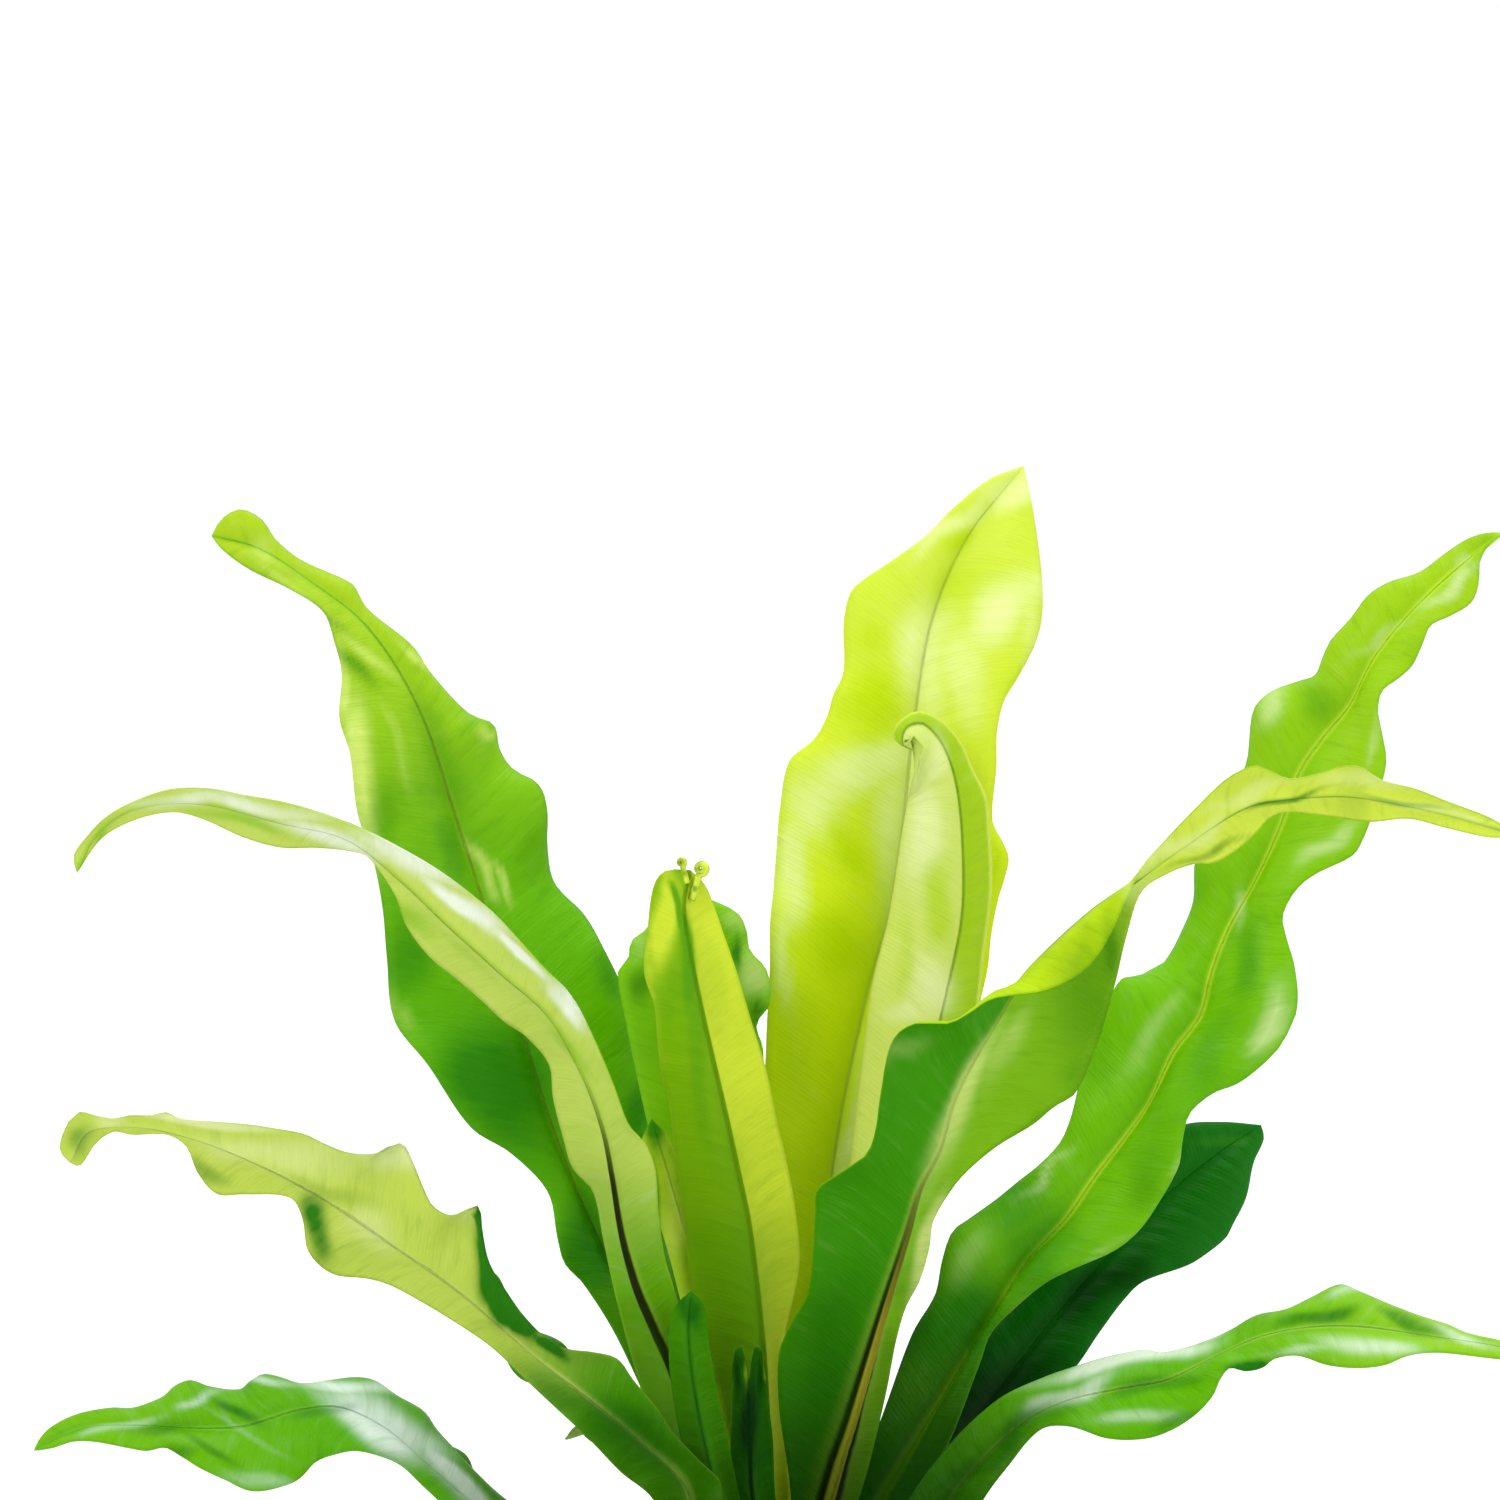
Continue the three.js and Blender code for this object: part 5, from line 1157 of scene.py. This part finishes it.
frond("frond_upper_right", frond_skin(
    "upper_right_skin", face=((40, 130, 0), (116, 190, 0), (164, 208, 20)),
    underside=((90, 150, 20), (150, 190, 80)), ridge=((120, 190, 0), (182, 224, 44)), light=(206, 228, 150),
    dark=(46, 138, 0), shine=(96, 182, 0), gloss=0.3, rib_wide=(1.3, 0.8),
), read_sheet(
    (MIDDLE_RING, 32), waves=8,
    rib=[
        [24, 165, 13], [42, 198, 19], [64, 236, 26], [77, 258, 31], [88, 271, 34], [97, 285, 37],
        [105, 296, 39], [113, 308, 42], [120, 324, 46], [128, 336, 49], [131, 349, 52], [136, 363, 55],
        [144, 378, 58], [151, 395, 62], [156, 411, 65], [163, 422, 68], [171, 432, 71], [177, 445, 74],
        [184, 455, 77], [198, 470, 82], [215, 484, 87],
    ],
    a=[
        [17, 168, 3], [31, 205, 5], [41, 234, 7], [48, 247], [50, 258, 8], [53, 267], [58, 271, 8],
        [66, 277], [73, 283], [80, 289, 8], [86, 296], [89, 304, 8], [91, 313], [96, 330, 8], [102, 345],
        [108, 348, 8], [113, 349], [117, 353], [122, 363, 8], [125, 372], [125, 382], [128, 393, 8],
        [135, 405], [140, 414, 8], [141, 426], [142, 431], [147, 436, 8], [155, 439], [160, 441],
        [162, 446, 7], [164, 451], [170, 458], [175, 465, 6], [181, 469], [190, 472, 5], [198, 478],
        [204, 482, 3], [210, 484], [215, 484],
    ],
    b=[
        [31, 162, -5], [50, 193, -8], [62, 225, -10], [65, 234], [72, 242, -12], [81, 250], [90, 255, -13],
        [103, 261], [110, 267, -13], [116, 276], [122, 288, -14], [123, 296], [124, 302], [126, 306, -14],
        [132, 311], [141, 315, -14], [150, 323], [154, 329], [157, 337, -14], [156, 351], [153, 361, -13],
        [152, 367], [156, 375, -12], [162, 380], [172, 385, -11], [175, 389], [178, 397, -10], [180, 405],
        [182, 415, -9], [180, 425], [179, 430], [180, 436, -8], [185, 440], [189, 444, -7], [192, 451],
        [194, 456], [200, 459, -5], [206, 463], [208, 469, -4], [208, 475], [211, 481, -2], [215, 484],
    ],
), pale=[
    (149, 334, 3.6, 10.9, -20, 1), (147, 433, 3.6, 7.8, -10, 0.8), (166, 390, 10.8, 2.7, 35, 0.6),
    (80, 284, 10.4, 1.8, 50, 0.7), (58, 257, 3.1, 12.3, -26, 0.25), (113, 328, 3, 15.2, -30, 0.3),
    (201, 468, 10.1, 2.4, 40, 0.8), (203, 476, 2.4, 2.4, 0, 0.5), (179, 452, 9, 1.5, 36, 0.4),
    (139, 370, 1.5, 6, 0, 0.6), (86, 248, 21.5, 1.5, 38, 0.7), (123, 287, 1.5, 9.2, -10, 0.5),
    (178, 421, 1.5, 9, -10, 0.4),
], deep=[
    (71, 280, 14.1, 14.1, 30, 0.7), (53, 235, 12.3, 18.5, -20, 1), (80, 261, 9.2, 15.3, -20, 0.6),
    (162, 433, 7.2, 7.2, 0, 0.5), (142, 353, 4.2, 12.1, -10, 0.6), (113, 287, 5.5, 12.2, -20, 0.4),
    (131, 322, 4.9, 15.2, -24, 0.4),
])
# Its very dark colours are painted shade: the frond lies low at the back right, in the shade of the fronds
# above it.
frond("frond_dark_right", frond_skin(
    "dark_right_skin", face=((0, 80, 0), (2, 98, 0), (12, 108, 0)),
    underside=((50, 120, 10), (90, 150, 40)), ridge=((0, 86, 0), (10, 110, 0)), light=(60, 146, 20),
    dark=(0, 62, 0), shine=(10, 100, 0), glow=0.1, gloss=0.4,
), read_sheet(
    (OUTER_RING, 36), waves=5,
    rib=[
        [44, 178, 31], [62, 207, 40], [80, 233, 50], [100, 258, 60], [118, 278, 70], [134, 292, 79],
        [147, 301, 87],
    ],
    a=[
        [34, 184, 3], [52, 218, 4], [72, 246, 5], [95, 276, 5], [112, 294, 4], [123, 301, 3], [135, 302, 2],
        [147, 301],
    ],
    b=[
        [53, 173, -6], [72, 198, -8], [92, 224, -10], [99, 235], [106, 245, -11], [112, 251],
        [125, 256, -11], [130, 259], [137, 265, -9], [139, 269], [143, 278, -7], [145, 289, -4],
        [148, 297, -1], [147, 301],
    ],
), pale=[
    (136, 296, 9.2, 1.8, 0, 0.3),
], deep=[
    (99, 248, 18.5, 6.2, 40, 0.9), (68, 213, 18.5, 9.3, 50, 0.9),
])
frond("frond_low_right", frond_skin(
    "low_right_skin", face=((56, 144, 0), (102, 184, 0), (146, 202, 30)),
    underside=((90, 150, 30), (150, 190, 80)), ridge=((80, 166, 30), (140, 196, 60)), light=(222, 238, 214),
    dark=(24, 116, 0), shine=(90, 172, 0), gloss=0.28,
), read_sheet(
    (OUTER_RING, 337), waves=6,
    rib=[
        [46, 168, -15], [61, 190, -20], [76, 205, -24], [89, 212, -28], [105, 216, -32], [120, 219, -36],
        [136, 227, -40], [149, 233, -43], [165, 236, -46], [180, 236, -49], [200, 233, -52],
        [220, 230, -55], [238, 226, -58],
    ],
    a=[
        [38, 175, 4], [52, 197, 7], [68, 213, 9], [82, 220, 10], [93, 224, 11], [99, 226], [107, 228, 11],
        [113, 229], [118, 228, 11], [130, 231], [139, 235, 11], [147, 240], [156, 242, 12], [164, 246],
        [172, 250, 12], [178, 248], [187, 244, 11], [197, 240], [206, 237, 8], [212, 234], [221, 232, 5],
        [231, 230, 2], [238, 226],
    ],
    b=[
        [54, 163, -7], [64, 181, -9], [71, 191], [81, 203, -10], [90, 204], [102, 200, -13], [114, 200],
        [122, 203, -13], [129, 208], [134, 214, -12], [136, 219], [139, 223, -10], [144, 222, -9],
        [149, 223], [153, 226, -9], [160, 227], [169, 224, -12], [179, 223], [187, 224, -12], [194, 227],
        [203, 228, -8], [221, 226, -4], [232, 225, -2], [238, 226],
    ],
), pale=[
    (105, 225, 24.7, 2.8, 14, 1.2), (130, 233, 12.3, 1.8, 24, 0.9), (109, 207, 12.4, 1.9, 4, 0.5),
    (91, 215, 15.5, 2.5, 26, 0.8), (184, 230, 14.2, 2.5, -6, 0.7), (174, 248, 7.4, 1.5, 20, 0.5),
    (210, 233, 11.1, 1.8, -18, 0.6), (161, 229, 9.3, 1.5, 6, 0.4),
], deep=[
    (145, 223, 6.8, 2.5, 0, 1.2), (167, 240, 13.5, 2.2, 14, 0.8), (72, 200, 18.6, 3.7, 38, 0.7),
    (115, 217, 15.4, 2.5, 14, 0.6), (194, 238, 9.2, 2.2, -26, 0.7), (124, 206, 12.4, 1.9, 20, 0.5),
])

# Short fronds at the heart
# Two young leaves that have hardly opened, soft, standing close before the others; their dark colours are
# painted shade, low in the heart of the plant. The tip of the front one is parted over its rib.
frond("frond_bud_front", frond_skin(
    "bud_front_skin", face=((34, 112, 0), (30, 108, 0), (60, 140, 4)),
    underside=((24, 92, 0), (34, 104, 0)), ridge=((0, 50, 0), (10, 60, 0)), light=(140, 200, 30),
    dark=(0, 58, 0), shine=(40, 110, 0), glow=0.1, heart_shade=0,
), read_sheet(
    (MIDDLE_RING, 283), under=True, ripple=0.4, waves=4, notch=0.09, rows=90,
    rib=[[-8, 180, -29], [-9, 200, -33], [-9.5, 215, -35], [-9.5, 229, -36]],
    a=[[-14, 180, 2], [-15, 200, 3], [-15, 213, 3], [-14.5, 222, 2], [-13.5, 229]],
    b=[[-1, 180, 2], [-2, 200, 3], [-3.5, 213, 3], [-4.5, 222, 2], [-5.5, 229]],
), pale=[
    (-10, 221, 0.9, 4.3, 0, 0.9), (-4, 222, 0.9, 3.1, 0, 1), (-16, 206, 1.2, 12.4, -6, 0.4),
], deep=[
    (-9, 206, 2.8, 15.5, 0, 1.2), (-13, 221, 1.2, 7.4, 0, 0.8), (-6, 219, 1.2, 6.2, 0, 0.8),
])
frond("frond_bud_left", frond_skin(
    "bud_left_skin", face=((34, 118, 0), (66, 164, 0), (60, 154, 0)),
    underside=((56, 136, 0), (84, 166, 0)), ridge=((56, 142, 0), (60, 150, 0)), light=(90, 176, 0),
    dark=(36, 120, 4), shine=(70, 150, 0), heart_shade=0.6,
), read_sheet(
    (MIDDLE_RING, 249), under=True, ripple=0.4, waves=4, rows=90,
    rib=[[-21, 190, -37], [-26, 215, -42], [-28, 235, -46], [-27, 248, -48]],
    a=[[-28, 190, 1], [-33, 215, 2], [-34, 233, 2], [-32, 243, 1], [-27, 248]],
    b=[[-14, 190, 1], [-19, 215, 2], [-22, 233, 2], [-23, 243, 1], [-27, 248]],
), deep=[
    (-27, 242, 4.3, 8, 10, 1.2),
])

# Fronds round the back and over the rim
# Older leaves that the front view hides: full green, arching out and over the rim with their tips drooping.
# Each is ruled across its rib at the width that such a leaf has there.
DROOP = 8
LEVEL_FROM = 0.25
TAPER = 0.45
FULL_AT = 0.42
FRILL_LIFT = 3.2


def ruled_sheet(root, half, waves, phase, rib, rows=120):
    """Blade of a frond from its rib and greatest half width."""
    side, foot = stalk(root)
    line = np.concatenate([foot, place(rib)])
    keys = by_length(line)
    spine = through(keys, line)
    s, t = rows_along(rows), spread()
    way = unit(spine(np.minimum(1, s + 0.02)) - spine(np.maximum(0, s - 0.02)))
    level = unit(np.cross(way, (0, 0, 1)))
    rest = np.minimum(1, s / LEVEL_FROM)[:, None]
    flat = unit(side + (level - side) * rest)
    top = unit(np.cross(flat, way))
    turn = np.radians(t[None, :] * DROOP * rest)[..., None]
    out = flat[:, None] * np.cos(turn) + top[:, None] * np.sin(turn)
    grown = np.clip((s - keys[2]) / FULL_AT, 0, 1)[:, None]
    taper = np.sqrt(np.maximum(0, 1 - (np.maximum(0, s - (1 - TAPER)) / TAPER) ** 2))[:, None]
    beat = FULL_TURN * waves * s[:, None] + phase + np.where(t < 0, 2.4, 0)[None, :]
    frill = 1 + (0.09 * np.sin(beat) + 0.02 * np.sin(2.6 * beat)) * grown
    width = np.maximum(LEAST_HALF, (STALK_HALF + (half - STALK_HALF) * grown) * taper * frill)
    lift = FRILL_LIFT * grown * taper * np.abs(t)[None, :] ** 1.6 * np.cos(beat)
    return s, t, spine(s)[:, None] + out * (t[None, :] * width)[..., None] + top[:, None] * lift[..., None]


grown_skin = frond_skin(
    "grown_skin", face=((26, 108, 0), (74, 162, 0), (112, 186, 10)),
    underside=((90, 150, 20), (140, 186, 70)), ridge=((60, 36, 14), (150, 200, 50)), light=(176, 212, 80),
    dark=(24, 106, 0), shine=(80, 166, 0), gloss=0.3,
)
# Each is given as where it grows, its half width, its waves and their start, and its rib.
for name, *given in (
    ("frond_back_right", (OUTER_RING, 60), 20, 7, 1, [
        [34, 175, 44], [56, 210, 70], [82, 243, 100], [106, 270, 134], [125, 283, 162]
    ]),
    ("frond_back_middle", (OUTER_RING, 84), 22, 7, 2, [
        [11, 192, 40], [16, 247, 66], [19, 300, 98], [22, 332, 130], [24, 342, 162]
    ]),
    ("frond_back_centre", (OUTER_RING, 107), 18, 7, 0.4, [
        [-10, 178, 46], [-14, 220, 80], [-17, 250, 118], [-22, 262, 154], [-26, 258, 184]
    ]),
    ("frond_back_upper", (MIDDLE_RING, 110), 16, 7, 1.7, [
        [-12, 180, 32], [-30, 228, 52], [-50, 270, 76], [-70, 312, 102], [-87, 348, 127], [-98, 374, 150]
    ]),
    ("frond_back_droop", (OUTER_RING, 130), 7, 4, 0, [
        [-24, 174, 34], [-37, 195, 48], [-48, 202, 62], [-57, 203, 74], [-66, 200, 84]
    ]),
    ("frond_back_left", (OUTER_RING, 152), 11, 7, 2.2, [
        [-34, 182, 24], [-62, 211, 38], [-84, 235, 50], [-108, 260, 66], [-132, 275, 82], [-146, 284, 92]
    ]),
    ("frond_side_left", (OUTER_RING, 174), 11, 7, 0.8, [
        [-50, 140, 14], [-76, 162, 22], [-100, 184, 30], [-118, 200, 36], [-140, 206, 44], [-163, 204, 52],
        [-180, 201, 58]
    ]),
    ("frond_front_left", (OUTER_RING, 242), 21, 5, 1.1, [
        [-26, 144, -48], [-46, 157, -80], [-70, 164, -116], [-94, 162, -152], [-118, 146, -186]
    ]),
    ("frond_front_centre", (OUTER_RING, 265), 23, 5, 2.6, [
        [-7, 128, -54], [-12, 136, -94], [-19, 142, -136], [-27, 134, -178], [-33, 112, -214]
    ]),
    ("frond_front_middle", (OUTER_RING, 288), 20, 5, 0.2, [
        [13, 146, -46], [28, 159, -82], [46, 165, -120], [64, 160, -158], [80, 142, -192]
    ]),
    ("frond_front_right", (OUTER_RING, 311), 20, 5, 1.9, [
        [36, 134, -42], [62, 145, -68], [92, 150, -96], [122, 145, -124], [150, 130, -150]
    ]),
):
    frond(name, grown_skin, ruled_sheet(*given))

# Studio
# A plain white floor and soft light from big lamps, seen from a little above with a long lens. The camera
# stands at EYE, from where the fronds were read.
FLOOR_HALF = 9000
FLOOR_FAR = 30000
FLOOR_LOW = -0.2
MIDDLE = (0, 0, 0.32)
WORLD_LIGHT = 1.04
LENS = 112
SENSOR = 36
SIGHT_END = 60
AIM = Vector((-0.009, 0, 0.418))
DISTANCE = 1.4
ELEVATION = math.radians(12)


def white_floor():
    bench = Bench("white_floor")
    dust = bench.grain(3)
    white = bench.blend(dust, tint(250, 250, 250), tint(254, 254, 254))
    sockets = {"Base Color": white, "Roughness": 0.85 + 0.1 * dust}
    return bench.done(bench.node("BsdfPrincipled", None, sockets)["BSDF"])


near = [(-FLOOR_HALF, -FLOOR_HALF, FLOOR_LOW), (FLOOR_HALF, -FLOOR_HALF, FLOOR_LOW)]
far = [(FLOOR_HALF, FLOOR_FAR, FLOOR_LOW), (-FLOOR_HALF, FLOOR_FAR, FLOOR_LOW)]
ground = mesh_piece("studio_floor", near + far, [(0, 1, 2, 3)], white_floor())


def lamp(name, where, size, watts):
    """A round soft lamp that faces the middle of the plant."""
    data = bpy.data.lights.new(name, "AREA")
    data.shape, data.size, data.energy = "DISK", size, watts
    made = bpy.data.objects.new(name, data)
    made.location = where
    made.rotation_euler = (Vector(MIDDLE) - Vector(where)).to_track_quat("-Z", "Y").to_euler()
    bpy.context.collection.objects.link(made)


lamp("key", (-1.1, -1.3, 1.9), 0.9, 14)
lamp("top", (0.3, 0.7, 2.2), 1.4, 16)
lamp("side", (1.8, -0.5, 1.0), 1.0, 4)
world = bpy.data.worlds.new("studio")
world.use_nodes = True
world.node_tree.nodes["Background"].inputs["Color"].default_value = (1, 1, 1, 1)
world.node_tree.nodes["Background"].inputs["Strength"].default_value = WORLD_LIGHT
bpy.context.scene.world = world

lens = bpy.data.cameras.new("camera")
lens.lens, lens.sensor_width, lens.clip_end = LENS, SENSOR, SIGHT_END
camera = bpy.data.objects.new("camera", lens)
camera.location = AIM + DISTANCE * Vector((0, -math.cos(ELEVATION), math.sin(ELEVATION)))
camera.rotation_euler = (AIM - camera.location).to_track_quat("-Z", "Y").to_euler()
bpy.context.collection.objects.link(camera)
bpy.context.scene.camera = camera
bpy.context.scene.view_settings.view_transform = "Standard"
